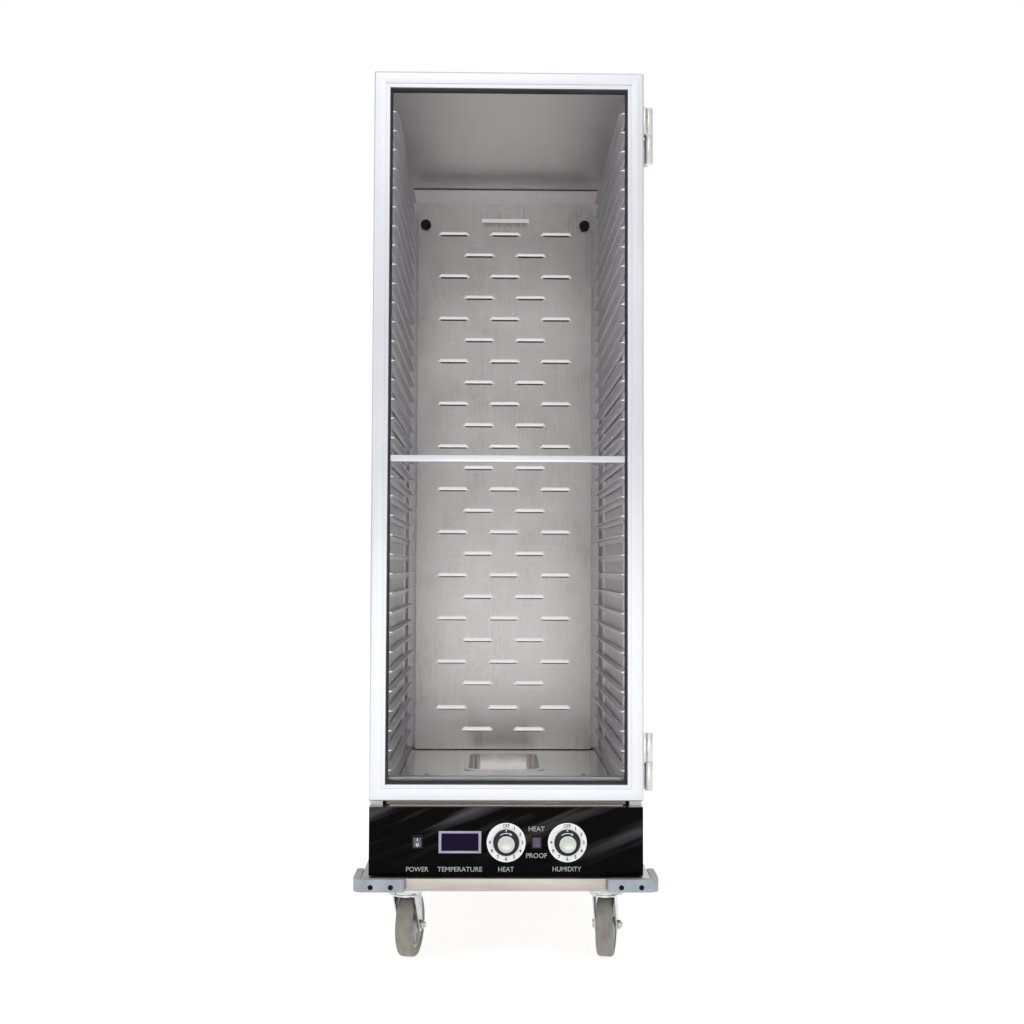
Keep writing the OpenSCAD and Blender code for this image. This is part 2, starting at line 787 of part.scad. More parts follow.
// tubular air heater and, under the pan, its plate element
module heating_elements() {
    bend_r = 22;
    tube = [150, 60, 225];      // where the tubes start
    leg = 170;
    tube_r = 4;
    strut_in = 10;
    plate = [120, 190, 6];
    plate_r = 20;
    plate_z = pan_rim_z - pan_h - 14;
    foot_x = 40;
    foot_z = module_z0 + sheet_t;
    color([0.35, 0.33, 0.32]) {
        for (k = [-1, 1]) {
            translate([tube[0] + k * bend_r, tube[1], tube[2]]) rotate([-90, 0, 0])
                cylinder(h = leg, r = tube_r);
            translate([tube[0] + k * bend_r, tube[1] + strut_in, foot_z])
                cylinder(h = tube[2] - foot_z, r = 3);
        }
        translate([tube[0], tube[1] + leg, tube[2]]) intersection() {
            rotate_extrude() translate([bend_r, 0]) circle(tube_r);
            box(-40, 40, -eps, 40, -10, 10);
        }
        translate([0, pan_y, plate_z]) linear_extrude(plate[2])
            round_rect(plate[0], plate[1], plate_r);
        for (sx = [-1, 1])
            translate([sx * foot_x, pan_y, foot_z]) cylinder(h = plate_z - foot_z + eps, r = 5);
    }
}

module blower_housing() {
    shell = 1.5;
    r = wheel_fan_r + 7;
    w = wheel_fan_w + 10;
    out_y = module_back - sheet_t - blower_y - 1;
    color("silver") translate([blower_x, blower_y, blower_z]) {
        difference() {
            union() {
                translate([-w / 2, 0, 0]) rotate([0, 90, 0]) cylinder(h = w, r = r);
                box(-w / 2, w / 2, 0, out_y, 5, r);
            }
            translate([-w / 2 + shell, 0, 0]) rotate([0, 90, 0])
                cylinder(h = w - 2 * shell, r = r - shell);
            box(-w / 2 + shell, w / 2 - shell, 0, out_y + 1, 5 + shell, r - shell);
            translate([-w, 0, 0]) rotate([0, 90, 0]) cylinder(h = w, r = 30);
            rotate([0, 90, 0]) cylinder(h = w, r = 6);
        }
        box(-w / 2, w / 2, -15, 15, module_z0 + sheet_t - blower_z, -r + shell);
    }
}

module blower_motor() {
    w = wheel_fan_w + 10;
    color([0.3, 0.3, 0.32]) translate([blower_x, blower_y, blower_z]) rotate([0, 90, 0]) {
        translate([0, 0, w / 2]) cylinder(h = motor_len, r = 30);
        translate([0, 0, -w / 2 + 8]) cylinder(h = w - 7, r = 3);
    }
}

module blower_wheel() {
    hub_len = 14;
    inner_r = wheel_fan_r - 12;
    color([0.5, 0.5, 0.52]) translate([blower_x, blower_y, blower_z]) rotate([0, 90, 0]) {
        difference() {
            union() {
                translate([0, 0, wheel_fan_w / 2 - 2]) cylinder(h = 2, r = wheel_fan_r);
                translate([0, 0, wheel_fan_w / 2 - hub_len]) cylinder(h = hub_len, r = 8);
            }
            translate([0, 0, -wheel_fan_w]) cylinder(h = 2 * wheel_fan_w, r = 3 + run_fit);
        }
        translate([0, 0, -wheel_fan_w / 2]) difference() {
            cylinder(h = 2, r = wheel_fan_r);
            translate([0, 0, -1]) cylinder(h = 4, r = inner_r);
        }
        for (k = [0 : blade_n - 1])
            rotate([0, 0, k * 360 / blade_n]) translate([inner_r, -0.6, -wheel_fan_w / 2 + 1])
                cube([wheel_fan_r - inner_r - 1, 1.2, wheel_fan_w - 2]);
    }
}

// strain-relief gland for the supply cord, through the module's back
module cable_gland()
    color([0.07, 0.07, 0.08])
        translate([cord_x, module_back - sheet_t, cord_z]) rotate([-90, 0, 0]) difference() {
            union() {
                translate([0, 0, sheet_t]) cylinder(h = 5, r = 13, $fn = 6);
                translate([0, 0, sheet_t]) cylinder(h = 18, r = 9.5);
                translate([0, 0, -6]) cylinder(h = 8, r = 8.9);
            }
            translate([0, 0, -10]) cylinder(h = 40, r = 4.5);
        }

module water_pan() {
    rim = 10;
    rim_t = 1.4;
    body = [pan_w - 2 * rim, pan_l - 2 * rim];
    color([0.75, 0.75, 0.74]) translate([0, pan_y, pan_rim_z]) difference() {
        union() {
            translate([0, 0, -rim_t]) linear_extrude(rim_t) round_rect(pan_w, pan_l, pan_r);
            translate([0, 0, -pan_h]) linear_extrude(pan_h)
                round_rect(body[0], body[1], pan_r);
        }
        translate([0, 0, -pan_h + pan_wall]) linear_extrude(pan_h + 1)
            round_rect(body[0] - 2 * pan_wall, body[1] - 2 * pan_wall, pan_r - pan_wall);
    }
}

// ---- castor nodes

module castor_fork_front_left() castor_at(-1, -1) castor_fork();
module castor_fork_front_right() castor_at(1, -1) castor_fork();
module castor_fork_rear_left() castor_at(-1, 1) castor_fork();
module castor_fork_rear_right() castor_at(1, 1) castor_fork();
module castor_axle_front_left() castor_at(-1, -1) castor_axle();
module castor_axle_front_right() castor_at(1, -1) castor_axle();
module castor_axle_rear_left() castor_at(-1, 1) castor_axle();
module castor_axle_rear_right() castor_at(1, 1) castor_axle();
module castor_tyre_front_left() castor_at(-1, -1) castor_tyre();
module castor_tyre_front_right() castor_at(1, -1) castor_tyre();
module castor_tyre_rear_left() castor_at(-1, 1) castor_tyre();
module castor_tyre_rear_right() castor_at(1, 1) castor_tyre();
module castor_hub_front_left() castor_at(-1, -1) castor_hub();
module castor_hub_front_right() castor_at(1, -1) castor_hub();
module castor_hub_rear_left() castor_at(-1, 1) castor_hub();
module castor_hub_rear_right() castor_at(1, 1) castor_hub();

// ---- nodes

outer_side_left();
outer_side_right();
outer_back();
outer_top();
liner_wrap();
liner_back();
front_frame();
tray_slides_left();
tray_slides_right();
rack_posts();
duct_panel();
duct_panel_handle();
duct_panel_knobs();
hinge_leaves_cabinet();
base_frame();
corner_bumpers();
bumper_screws();
castor_plates();
door_stile_left();
door_stile_right();
door_rail_top();
door_rail_bottom();
door_mid_rail();
door_pane_upper();
door_pane_lower();
glazing_gasket();
door_seal();
hinge_leaves_door();
module_tray();
control_panel();
display_bezel();
display_window();
switch_housings();
floor_plate();
heating_elements();
blower_housing();
blower_motor();
cable_gland();
power_rocker();
mode_rocker();
heat_knob();
humidity_knob();
blower_wheel();
water_pan();
castor_fork_front_left();
castor_fork_front_right();
castor_fork_rear_left();
castor_fork_rear_right();
castor_axle_front_left();
castor_axle_front_right();
castor_axle_rear_left();
castor_axle_rear_right();
castor_tyre_front_left();
castor_tyre_front_right();
castor_tyre_rear_left();
castor_tyre_rear_right();
castor_hub_front_left();
castor_hub_front_right();
castor_hub_rear_left();
castor_hub_rear_right();
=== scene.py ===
import json
import math

import bmesh
import bpy
from mathutils import Matrix, Vector

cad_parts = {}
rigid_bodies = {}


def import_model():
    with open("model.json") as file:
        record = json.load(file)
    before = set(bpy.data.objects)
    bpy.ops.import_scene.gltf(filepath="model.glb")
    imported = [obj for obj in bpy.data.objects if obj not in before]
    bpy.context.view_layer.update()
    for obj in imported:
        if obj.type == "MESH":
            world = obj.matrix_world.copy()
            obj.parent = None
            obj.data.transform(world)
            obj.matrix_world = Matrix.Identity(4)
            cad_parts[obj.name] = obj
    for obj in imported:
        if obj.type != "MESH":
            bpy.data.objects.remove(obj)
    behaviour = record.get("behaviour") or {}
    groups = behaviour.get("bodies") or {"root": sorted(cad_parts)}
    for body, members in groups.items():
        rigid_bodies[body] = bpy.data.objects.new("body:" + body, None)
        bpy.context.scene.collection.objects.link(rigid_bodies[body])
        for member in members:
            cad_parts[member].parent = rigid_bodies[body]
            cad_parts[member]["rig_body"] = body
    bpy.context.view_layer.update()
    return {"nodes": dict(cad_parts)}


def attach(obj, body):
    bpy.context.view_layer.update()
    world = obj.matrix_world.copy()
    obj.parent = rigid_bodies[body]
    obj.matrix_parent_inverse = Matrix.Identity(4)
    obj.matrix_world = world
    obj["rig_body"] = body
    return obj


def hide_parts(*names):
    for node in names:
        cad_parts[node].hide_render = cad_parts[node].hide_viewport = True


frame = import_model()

nodes = frame["nodes"]
mm = 0.001          # the scene is in metres, and sizes here are in mm
perMetre = 1000     # a texture's scale for features given in mm
smoothAngle = 35    # degrees: edges sharper than this stay crisp
print("frame loaded:", len(nodes), "nodes")


def toLinear(hexColour):
    # sRGB "#rrggbb" to the linear colour that a socket takes
    parts = [int(hexColour[i:i + 2], 16) / 255 for i in (1, 3, 5)]
    return [p / 12.92 if p <= 0.04045 else ((p + 0.055) / 1.055) ** 2.4 for p in parts] + [1.0]


def addNode(tree, kind, inputs=None, settings=None, ramp=None):
    # an input is a value, or another node's output to link from
    made = tree.nodes.new(kind)
    for name, value in (settings or {}).items():
        setattr(made, name, value)
    for name, value in (inputs or {}).items():
        if isinstance(value, bpy.types.NodeSocket):
            tree.links.new(value, made.inputs[name])
        else:
            made.inputs[name].default_value = value
    if ramp:
        stops = made.color_ramp.elements
        for stop, (place, colour) in ((stops[0], ramp[0]), (stops[1], ramp[-1])):
            stop.position, stop.color = place, colour
        for place, colour in ramp[1:-1]:
            stops.new(place).color = colour
    return made


def newFinish(name, even):
    # a Principled shader whose even values sit on its own sockets, and the Object coordinates
    material = bpy.data.materials.new(name)
    material.use_nodes = True
    tree = material.node_tree
    tree.nodes.clear()
    shader = addNode(tree, "ShaderNodeBsdfPrincipled", even)
    addNode(tree, "ShaderNodeOutputMaterial", {"Surface": shader.outputs["BSDF"]})
    coords = addNode(tree, "ShaderNodeTexCoord").outputs["Object"]
    return material, tree, shader, coords


scratch = {"length": 90, "width": 1.2, "turn": (0.5, 0.35, 0.6), "tone": "#f4f4f2"}


# Sheet, extruded and machined metal: rolling or brushing lines run along one axis, soft clouds
# come from handling, and a few scratches cross the grain. grain is a line's length and width in mm, cloud
# a cloud's size and depth a ridge's height; a zone is part of the piece, past a plane, with its own tone: painted
# highlight where the tone is light, painted shade where it is dark; a zone with glow also glows in its tone, as a
# painted highlight.
def metalFinish(name, tones, grainAxis, grain, cloud, roughness, depth, scratches=0.0, cloudShare=0.5,
                metallic=1.0, zone=None):
    material, tree, shader, coords = newFinish(name, {"Metallic": metallic})
    stretch = [perMetre / grain[1]] * 3
    stretch["XYZ".index(grainAxis)] = perMetre / grain[0]
    lines = addNode(tree, "ShaderNodeMapping", {"Vector": coords, "Scale": stretch})
    lines = addNode(tree, "ShaderNodeTexNoise", {"Vector": lines.outputs[0], "Scale": 1.0,
                                                 "Detail": 3.0, "Roughness": 0.7}).outputs["Fac"]
    clouds = addNode(tree, "ShaderNodeTexNoise", {"Vector": coords, "Scale": perMetre / cloud, "Detail": 4.0,
                                                  "Roughness": 0.55, "Distortion": 0.4}).outputs["Fac"]
    both = addNode(tree, "ShaderNodeMix", {"Factor": cloudShare, "A": lines, "B": clouds}).outputs[0]
    tint = addNode(tree, "ShaderNodeValToRGB", {"Fac": both},
                   ramp=[(0.34, toLinear(tones[0])), (0.66, toLinear(tones[1]))]).outputs["Color"]
    gloss = addNode(tree, "ShaderNodeMapRange", {"Value": both, "From Min": 0.3, "From Max": 0.7,
                                                 "To Min": roughness[0], "To Max": roughness[1]}).outputs[0]
    if zone:
        past = addNode(tree, "ShaderNodeSeparateXYZ", {"Vector": coords}).outputs[zone["axis"]]
        past = addNode(tree, "ShaderNodeMapRange", {"Value": past, "From Min": zone["from"] * mm,
                                                    "From Max": zone["to"] * mm}).outputs[0]
        tint = addNode(tree, "ShaderNodeMix", {"Factor": past, 6: tint, 7: toLinear(zone["tone"])},
                       {"data_type": "RGBA"}).outputs[2]
        mirror = addNode(tree, "ShaderNodeMapRange", {"Value": past, "To Min": metallic,
                                                      "To Max": zone["metallic"]}).outputs[0]
        tree.links.new(mirror, shader.inputs["Metallic"])
        if "glow" in zone:
            # painted highlight: the zone glows in its own tone, standing in for light caught at the bright edge
            paintedGlow = addNode(tree, "ShaderNodeMix", {"Factor": past, 6: toLinear("#000000"),
                                                     7: toLinear(zone["tone"])}, {"data_type": "RGBA"}).outputs[2]
            tree.links.new(paintedGlow, shader.inputs["Emission Color"])
            shader.inputs["Emission Strength"].default_value = zone["glow"]
    if scratches:
        long, fine = perMetre / scratch["length"], perMetre / scratch["width"]
        turned = addNode(tree, "ShaderNodeMapping", {"Vector": coords, "Rotation": scratch["turn"],
                                                     "Scale": (long, fine, fine)})
        marks = addNode(tree, "ShaderNodeTexNoise", {"Vector": turned.outputs[0], "Scale": 1.0, "Detail": 1.0})
        marks = addNode(tree, "ShaderNodeMapRange", {"Value": marks.outputs["Fac"], "From Min": 0.66,
                                                     "From Max": 0.72, "To Max": scratches}).outputs[0]
        tint = addNode(tree, "ShaderNodeMix", {"Factor": marks, 6: tint, 7: toLinear(scratch["tone"])},
                       {"data_type": "RGBA"}).outputs[2]
    ridges = addNode(tree, "ShaderNodeBump", {"Height": lines, "Strength": 0.6, "Distance": depth * mm})
    tree.links.new(tint, shader.inputs["Base Color"])
    tree.links.new(gloss, shader.inputs["Roughness"])
    tree.links.new(ridges.outputs[0], shader.inputs["Normal"])
    return material


# Moulded and painted pieces: the mould's fine spark texture, flow clouds in the colour and dust
# specks that settle in the texture. texture, depth and cloud are in mm.
def mouldedFinish(name, tones, texture, depth, roughness, cloud, dust=0.0, dustTone="#a8a49c", even=None):
    material, tree, shader, coords = newFinish(name, even or {})
    flow = addNode(tree, "ShaderNodeTexNoise", {"Vector": coords, "Scale": perMetre / cloud, "Detail": 3.0,
                                                "Roughness": 0.5}).outputs["Fac"]
    grit = addNode(tree, "ShaderNodeTexNoise", {"Vector": coords, "Scale": perMetre / texture, "Detail": 2.0,
                                                "Roughness": 0.6}).outputs["Fac"]
    tint = addNode(tree, "ShaderNodeValToRGB", {"Fac": flow},
                   ramp=[(0.3, toLinear(tones[0])), (0.7, toLinear(tones[1]))]).outputs["Color"]
    if dust:
        specks = addNode(tree, "ShaderNodeMapRange", {"Value": grit, "From Min": 0.6, "From Max": 0.75,
                                                      "To Max": dust}).outputs[0]
        tint = addNode(tree, "ShaderNodeMix", {"Factor": specks, 6: tint, 7: toLinear(dustTone)},
                       {"data_type": "RGBA"}).outputs[2]
    gloss = addNode(tree, "ShaderNodeMapRange", {"Value": flow, "From Min": 0.3, "From Max": 0.7,
                                                 "To Min": roughness[0], "To Max": roughness[1]}).outputs[0]
    pits = addNode(tree, "ShaderNodeBump", {"Height": grit, "Strength": 0.5, "Distance": depth * mm})
    tree.links.new(tint, shader.inputs["Base Color"])
    tree.links.new(gloss, shader.inputs["Roughness"])
    tree.links.new(pits.outputs[0], shader.inputs["Normal"])
    return material


# satin anodised aluminium: near white, with faint draw lines along each bar
satinTones = ("#cbcdd1", "#dddfe3")
satinStile = metalFinish("satinAnodisedStile", satinTones, "Z", (420, 1.6), 260, (0.30, 0.42), 0.012)
satinRail = metalFinish("satinAnodisedRail", satinTones, "X", (420, 1.6), 260, (0.30, 0.42), 0.012)
# rolled aluminium sheet outside: soft grey clouds, a few handling scratches
shellSheet = metalFinish("rolledAluminiumShell", ("#b4b6b6", "#cbccca"), "Z", (300, 2.2), 340, (0.30, 0.46),
                         0.02, 0.35)
# the same sheet inside, a little duller from steam, and painted lighter than outside to lift the shade inside the
# cabinet
linerSheetPaintedLighter = metalFinish("rolledAluminiumLiner", ("#dedbdc", "#f0edee"), "Z", (240, 2.2), 220,
                         (0.34, 0.52), 0.02, 0.3, metallic=0.85)
# mill-finish extruded slides: painted paler than the metal to lift the shade inside, with rub lines where pans
# slide in; the cut ends are painted white and glow, a painted highlight
slideEndHighlight = {"axis": "Y", "from": -353.5, "to": -355.5, "tone": "#ffffff", "metallic": 0.3, "glow": 0.25}
slideMetal = metalFinish("millAluminiumSlide", ("#e6e5ea", "#fbfafd"), "Y", (160, 1.1), 120, (0.26, 0.42),
                         0.015, 0.45, metallic=0.6, zone=slideEndHighlight)
# brushed stainless duct sheet: cloudy grey; the pressed hoods are painted white and glow, a painted highlight
ductHoodHighlight = {"axis": "Y", "from": 327.3, "to": 325.6, "tone": "#fffdf6", "metallic": 0.1, "glow": 0.5}
ductSteel = metalFinish("brushedStainlessDuct", ("#a9a8a7", "#cdccca"), "Z", (130, 0.9), 150, (0.24, 0.36),
                        0.006, 0.25, zone=ductHoodHighlight)
# brushed stainless tray: warmer and shinier, brushed from side to side
stainlessFlat = metalFinish("brushedStainlessFlat", ("#a8a49f", "#c6c2bc"), "X", (130, 0.9), 170, (0.16, 0.30),
                            0.006, 0.3)
# stainless handle: painted pale, and its front face glows, a painted highlight
handleFrontGlow = {"axis": "Y", "from": 329, "to": 328, "tone": "#f1efe8", "metallic": 0.4, "glow": 0.3}
handlePaintedHighlight = metalFinish("paintedHighlightStainlessHandle", ("#dfddd6", "#f1efe8"), "X", (30, 1.0), 40, (0.4, 0.55),
                          0.01, metallic=0.4, zone=handleFrontGlow)
# the floor plate is painted near white to lift the shade on the cabinet floor; its front flange is painted dark,
# the painted shade below the door
plateFlangeShade = {"axis": "Z", "from": 306, "to": 304.5, "tone": "#6f6763", "metallic": 0.8}
plateSteel = metalFinish("brushedStainlessPlate", ("#f2f1ee", "#ffffff"), "X", (130, 0.9), 170, (0.14, 0.26),
                         0.006, 0.3, metallic=0.7, zone=plateFlangeShade)
# deep-drawn stainless pan: painted brighter than the other stainless to lift the shade inside, smoother, with draw
# marks round it
panMetal = metalFinish("drawnStainlessPan", ("#e8e5e0", "#fffdf9"), "X", (60, 1.4), 50, (0.14, 0.28), 0.01, 0.3,
                       metallic=0.75)
# extruded base rail: warm silver, with long draw lines
baseMetal = metalFinish("extrudedAluminiumBase", ("#aaa49c", "#c2bcb4"), "X", (260, 1.4), 160, (0.28, 0.44),
                        0.015, 0.4)
# bright zinc on the castor forks: uneven, slightly blue and yellow patches
zincPlate = metalFinish("brightZincPlate", ("#b9bcc0", "#e0e1e0"), "Z", (14, 5), 22, (0.18, 0.36), 0.02, 0.2, 0.8)
# plated hinge steel: bright and smooth, a little warm
hingeSteel = metalFinish("nickelPlatedHinge", ("#c7c7c4", "#e3e3df"), "Z", (60, 1.2), 40, (0.20, 0.32), 0.01, 0.2)
# bright fasteners: small sharp glints
fastenerSteel = metalFinish("stainlessFastener", ("#aaa9a6", "#d4d3d0"), "X", (6, 0.8), 8, (0.20, 0.34), 0.01)
# black oxide on socket screws: dark, oily sheen
blackOxide = metalFinish("blackOxideScrew", ("#141416", "#26262a"), "X", (5, 0.8), 6, (0.30, 0.45), 0.01)
# galvanised blower case: spangle patches
galvanised = metalFinish("galvanisedSteel", ("#8f9396", "#b4b8ba"), "Z", (18, 12), 26, (0.30, 0.48), 0.01, 0.2,
                         0.85)
# heater sheath, blued and browned by heat
heaterSheath = metalFinish("oxidisedHeaterSheath", ("#3c3734", "#6a625b"), "Y", (40, 3), 30, (0.38, 0.55),
                           0.02, 0, 0.8)

# clear polycarbonate: almost nothing but a faint sheen, smudges and slight waviness
pane = {"tone": "#1c2022", "alpha": 0.06, "smudges": 7.0, "roughness": (0.03, 0.16), "wave": 0.3}
clearPane, tree, shader, coords = newFinish("clearPolycarbonate", {"Base Color": toLinear(pane["tone"]),
                                                                   "Alpha": pane["alpha"]})
smudge = addNode(tree, "ShaderNodeTexNoise", {"Vector": coords, "Scale": pane["smudges"],
                                              "Detail": 4.0}).outputs["Fac"]
haze = addNode(tree, "ShaderNodeMapRange", {"Value": smudge, "To Min": pane["roughness"][0],
                                            "To Max": pane["roughness"][1]}).outputs[0]
wave = addNode(tree, "ShaderNodeBump", {"Height": smudge, "Strength": 0.2,
                                        "Distance": pane["wave"] * mm}).outputs[0]
tree.links.new(haze, shader.inputs["Roughness"])
tree.links.new(wave, shader.inputs["Normal"])

# polyester overlay: glossy black film, with a painted reflection of soft lighter bands across it
overlay = {"bandAngle": 22, "bandWidth": 24, "bandLength": 260, "shift": (0.03, 0, 0.012), "black": "#020203",
           "grey": "#48484a", "bandFrom": 0.46, "bandFull": 0.7, "fadeBelow": 0.18, "fullAbove": 0.29,
           "roughness": 0.22, "grain": 900.0}
panelFilm, tree, shader, coords = newFinish("overlayFilmPaintedReflection", {"Specular IOR Level": 0.04,
                                                                   "Roughness": overlay["roughness"]})
turned = addNode(tree, "ShaderNodeMapping", {"Vector": coords, "Location": overlay["shift"],
                                             "Rotation": (0, -math.radians(overlay["bandAngle"]), 0),
                                             "Scale": (overlay["bandLength"] * mm, 1, overlay["bandWidth"] * mm)},
                 {"vector_type": "TEXTURE"})
reflectionBands = addNode(tree, "ShaderNodeTexNoise",
                {"Vector": turned.outputs[0], "Scale": 1.0, "Detail": 2.0}).outputs["Fac"]
reflectionBands = addNode(tree, "ShaderNodeMapRange",
                {"Value": reflectionBands, "From Min": overlay["bandFrom"], "From Max": overlay["bandFull"]}).outputs[0]
# the painted reflection fades out towards the bottom of the panel
height = addNode(tree, "ShaderNodeSeparateXYZ", {"Vector": coords}).outputs["Z"]
height = addNode(tree, "ShaderNodeMapRange",
                 {"Value": height, "From Min": overlay["fadeBelow"],
                  "From Max": overlay["fullAbove"]}).outputs[0]
reflectionBands = addNode(tree, "ShaderNodeMath", {0: reflectionBands, 1: height}, {"operation": "MULTIPLY"}).outputs[0]
tint = addNode(tree, "ShaderNodeMix",
               {"Factor": reflectionBands, 6: toLinear(overlay["black"]), 7: toLinear(overlay["grey"])},
               {"data_type": "RGBA"}).outputs[2]
film = addNode(tree, "ShaderNodeTexNoise",
               {"Vector": coords, "Scale": overlay["grain"], "Detail": 2.0}).outputs["Fac"]
film = addNode(tree, "ShaderNodeBump", {"Height": film, "Strength": 0.15, "Distance": 0.02 * mm}).outputs[0]
tree.links.new(tint, shader.inputs["Base Color"])
tree.links.new(film, shader.inputs["Normal"])

# nitrile glazing strip and sponge door seal: off black, matt, dusty in their texture
gasketRubber = mouldedFinish("nitrileGasket", ("#26282c", "#3a3d42"), 1.6, 0.05, (0.5, 0.7), 90, 0.1,
                             even={"Specular IOR Level": 0.2})
sealRubber = mouldedFinish("spongeDoorSeal", ("#26262a", "#37373b"), 2.2, 0.12, (0.6, 0.8), 120, 0.12,
                           even={"Specular IOR Level": 0.25})
# lilac-grey ABS round the display
bezelPlastic = mouldedFinish("bezelABS", ("#8f8ea0", "#a5a4b6"), 0.9, 0.04, (0.36, 0.5), 40, 0.08)
# smoked acrylic window: deep violet black, smooth
smokedWindow = mouldedFinish("smokedAcrylicWindow", ("#0f0a1f", "#181029"), 2.0, 0.008, (0.06, 0.14), 50, 0.05,
                            "#4c4664", {"Specular IOR Level": 0.05})
# black switch housings and purple-grey rockers in ABS
switchPlastic = mouldedFinish("switchHousingABS", ("#0b0a0d", "#161419"), 1.0, 0.05, (0.4, 0.55), 30, 0.1,
                              even={"Specular IOR Level": 0.2})
powerRockerPlastic = mouldedFinish("powerRockerABS", ("#4b4a57", "#5f5d6a"), 0.9, 0.04, (0.32, 0.46), 12, 0.06,
                                   even={"Specular IOR Level": 0.3})
modeRockerPlastic = mouldedFinish("modeRockerABS", ("#4b4757", "#5d5668"), 0.9, 0.04, (0.32, 0.46), 12, 0.06,
                                  even={"Specular IOR Level": 0.3})
# phenolic knobs: navy black, polished
knobPhenolic = mouldedFinish("phenolicKnob", ("#0a0a12", "#161523"), 1.2, 0.02, (0.16, 0.3), 20, 0.06,
                             even={"Specular IOR Level": 0.35})
thumbPhenolic = mouldedFinish("phenolicThumbKnob", ("#050506", "#0d0d0f"), 1.1, 0.03, (0.4, 0.52), 18, 0.05,
                              even={"Specular IOR Level": 0.1})
# extruded vinyl bumpers: blue-grey, scuffed
bumperVinyl = mouldedFinish("extrudedBumperVinyl", ("#8c939b", "#a2a8af"), 1.4, 0.08, (0.42, 0.6), 34, 0.3,
                            "#dfe1e4")
# grey castor rubber with floor dust, and grey nylon wheel centres
tyreRubber = mouldedFinish("greyCastorRubber", ("#726f67", "#8d8a81"), 1.5, 0.12, (0.55, 0.75), 26, 0.35,
                           "#aaa89f")
hubNylon = mouldedFinish("greyNylonHub", ("#a8a6a9", "#c2c0c2"), 1.2, 0.06, (0.35, 0.5), 30, 0.15)
# motor enamel and nylon gland: black, the enamel glossier
motorEnamel = mouldedFinish("blackMotorEnamel", ("#1a1a1c", "#2b2b2e"), 1.0, 0.05, (0.3, 0.45), 24, 0.15)
glandNylon = mouldedFinish("blackNylonGland", ("#0d0d0f", "#1a1a1c"), 1.0, 0.05, (0.4, 0.55), 20, 0.1,
                           even={"Specular IOR Level": 0.3})
# screen-printed inks: matt, with a slightly uneven lay-down
whiteInk = mouldedFinish("whiteScreenInk", ("#dcdcdc", "#f6f6f6"), 0.7, 0.01, (0.45, 0.6), 5)
labelInk = mouldedFinish("greyWhiteLabelInk", ("#8f9490", "#a8ada8"), 0.7, 0.01, (0.45, 0.6), 5)
blackInk = mouldedFinish("blackScreenInk", ("#0c0c0e", "#1c1c1e"), 0.7, 0.01, (0.5, 0.65), 5)
# silicone sealant: dark grey, soft and uneven
sealantGrey = mouldedFinish("greySealant", ("#3e3b3b", "#545050"), 3.0, 0.2, (0.5, 0.7), 60, 0.15)

print("finishes made:", len(bpy.data.materials))


def finishPiece(bm, name, finishes, body, replaced=(), outward=True):
    # turns a bmesh into a shown piece that rides on its body
    if outward:
        bmesh.ops.recalc_face_normals(bm, faces=bm.faces)
    mesh = bpy.data.meshes.new(name)
    bm.to_mesh(mesh)
    bm.free()
    mesh.shade_smooth()
    mesh.set_sharp_from_angle(angle=math.radians(smoothAngle))
    piece = bpy.data.objects.new(name, mesh)
    bpy.context.scene.collection.objects.link(piece)
    for finish in finishes:
        mesh.materials.append(finish)
    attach(piece, body)
    if replaced:
        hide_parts(*replaced)


def ease(bm, geom, radius, segments, affect="EDGES"):
    bmesh.ops.bevel(bm, geom=geom, offset=radius * mm, offset_type="OFFSET", segments=segments, profile=0.5,
                    affect=affect, material=-1, clamp_overlap=True)


def edgesOf(made):
    return list(dict.fromkeys(e for v in made["verts"] for e in v.link_edges))


def moveAll(bm, matrix):
    bmesh.ops.transform(bm, matrix=matrix, verts=bm.verts)


def stampInto(bm, part):
    # adds a whole bmesh to another, and frees it
    stamped = bpy.data.meshes.new("stamped")
    part.to_mesh(stamped)
    part.free()
    bm.from_mesh(stamped)
    bpy.data.meshes.remove(stamped)


merging = {"weld": 0.004, "flat": 1.2, "sharp": 38}   # weld in mm, the other two in degrees


def roundedCopy(nodeName, finish, radius, segments):
    # a merged copy of a CAD node with its sharp edges eased, shown in the node's place
    source = nodes[nodeName]
    bm = bmesh.new()
    bm.from_mesh(source.data)
    bmesh.ops.remove_doubles(bm, verts=bm.verts, dist=merging["weld"] * mm)
    bmesh.ops.dissolve_limit(bm, angle_limit=math.radians(merging["flat"]), verts=bm.verts, edges=bm.edges)
    sharp = math.radians(merging["sharp"])
    ease(bm, [e for e in bm.edges if len(e.link_faces) == 2 and e.calc_face_angle() > sharp], radius, segments)
    finishPiece(bm, nodeName + "_eased", [finish], source["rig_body"], [nodeName], outward=False)


def spinProfile(bm, profile, steps, closed=False):
    # profile is (radius, height) in mm, spun about local Z
    verts = [bm.verts.new((r * mm, 0, z * mm)) for r, z in profile]
    edges = [bm.edges.new(pair) for pair in zip(verts, verts[1:])]
    if closed:
        edges.append(bm.edges.new((verts[-1], verts[0])))
    bmesh.ops.spin(bm, geom=verts + edges, cent=(0, 0, 0), axis=(0, 0, 1), angle=math.tau, steps=steps,
                   use_merge=True)
    bmesh.ops.remove_doubles(bm, verts=bm.verts, dist=0.002 * mm)


def toPlace(x, y, z, turn=Matrix.Identity(4)):
    return Matrix.Translation(Vector((x, y, z)) * mm) @ turn


def turnBy(degrees, axis):
    return Matrix.Rotation(math.radians(degrees), 4, axis)


def sized(x, y, z):
    return Matrix.Diagonal((x * mm, y * mm, z * mm, 1))


facingFront, facingBack = turnBy(90, "X"), turnBy(-90, "X")   # local Z comes out that way
facingRight, facingLeft = turnBy(90, "Y"), turnBy(-90, "Y")


def cutFlutes(bm, flutes, low, high, outside, share):
    # every other column of points moves inwards, as a finger grip
    for v in bm.verts:
        column = round(math.atan2(v.co.y, v.co.x) / math.tau * 2 * flutes)
        if low * mm < v.co.z < high * mm and v.co.xy.length > outside * mm and column % 2:
            v.co.xy *= share


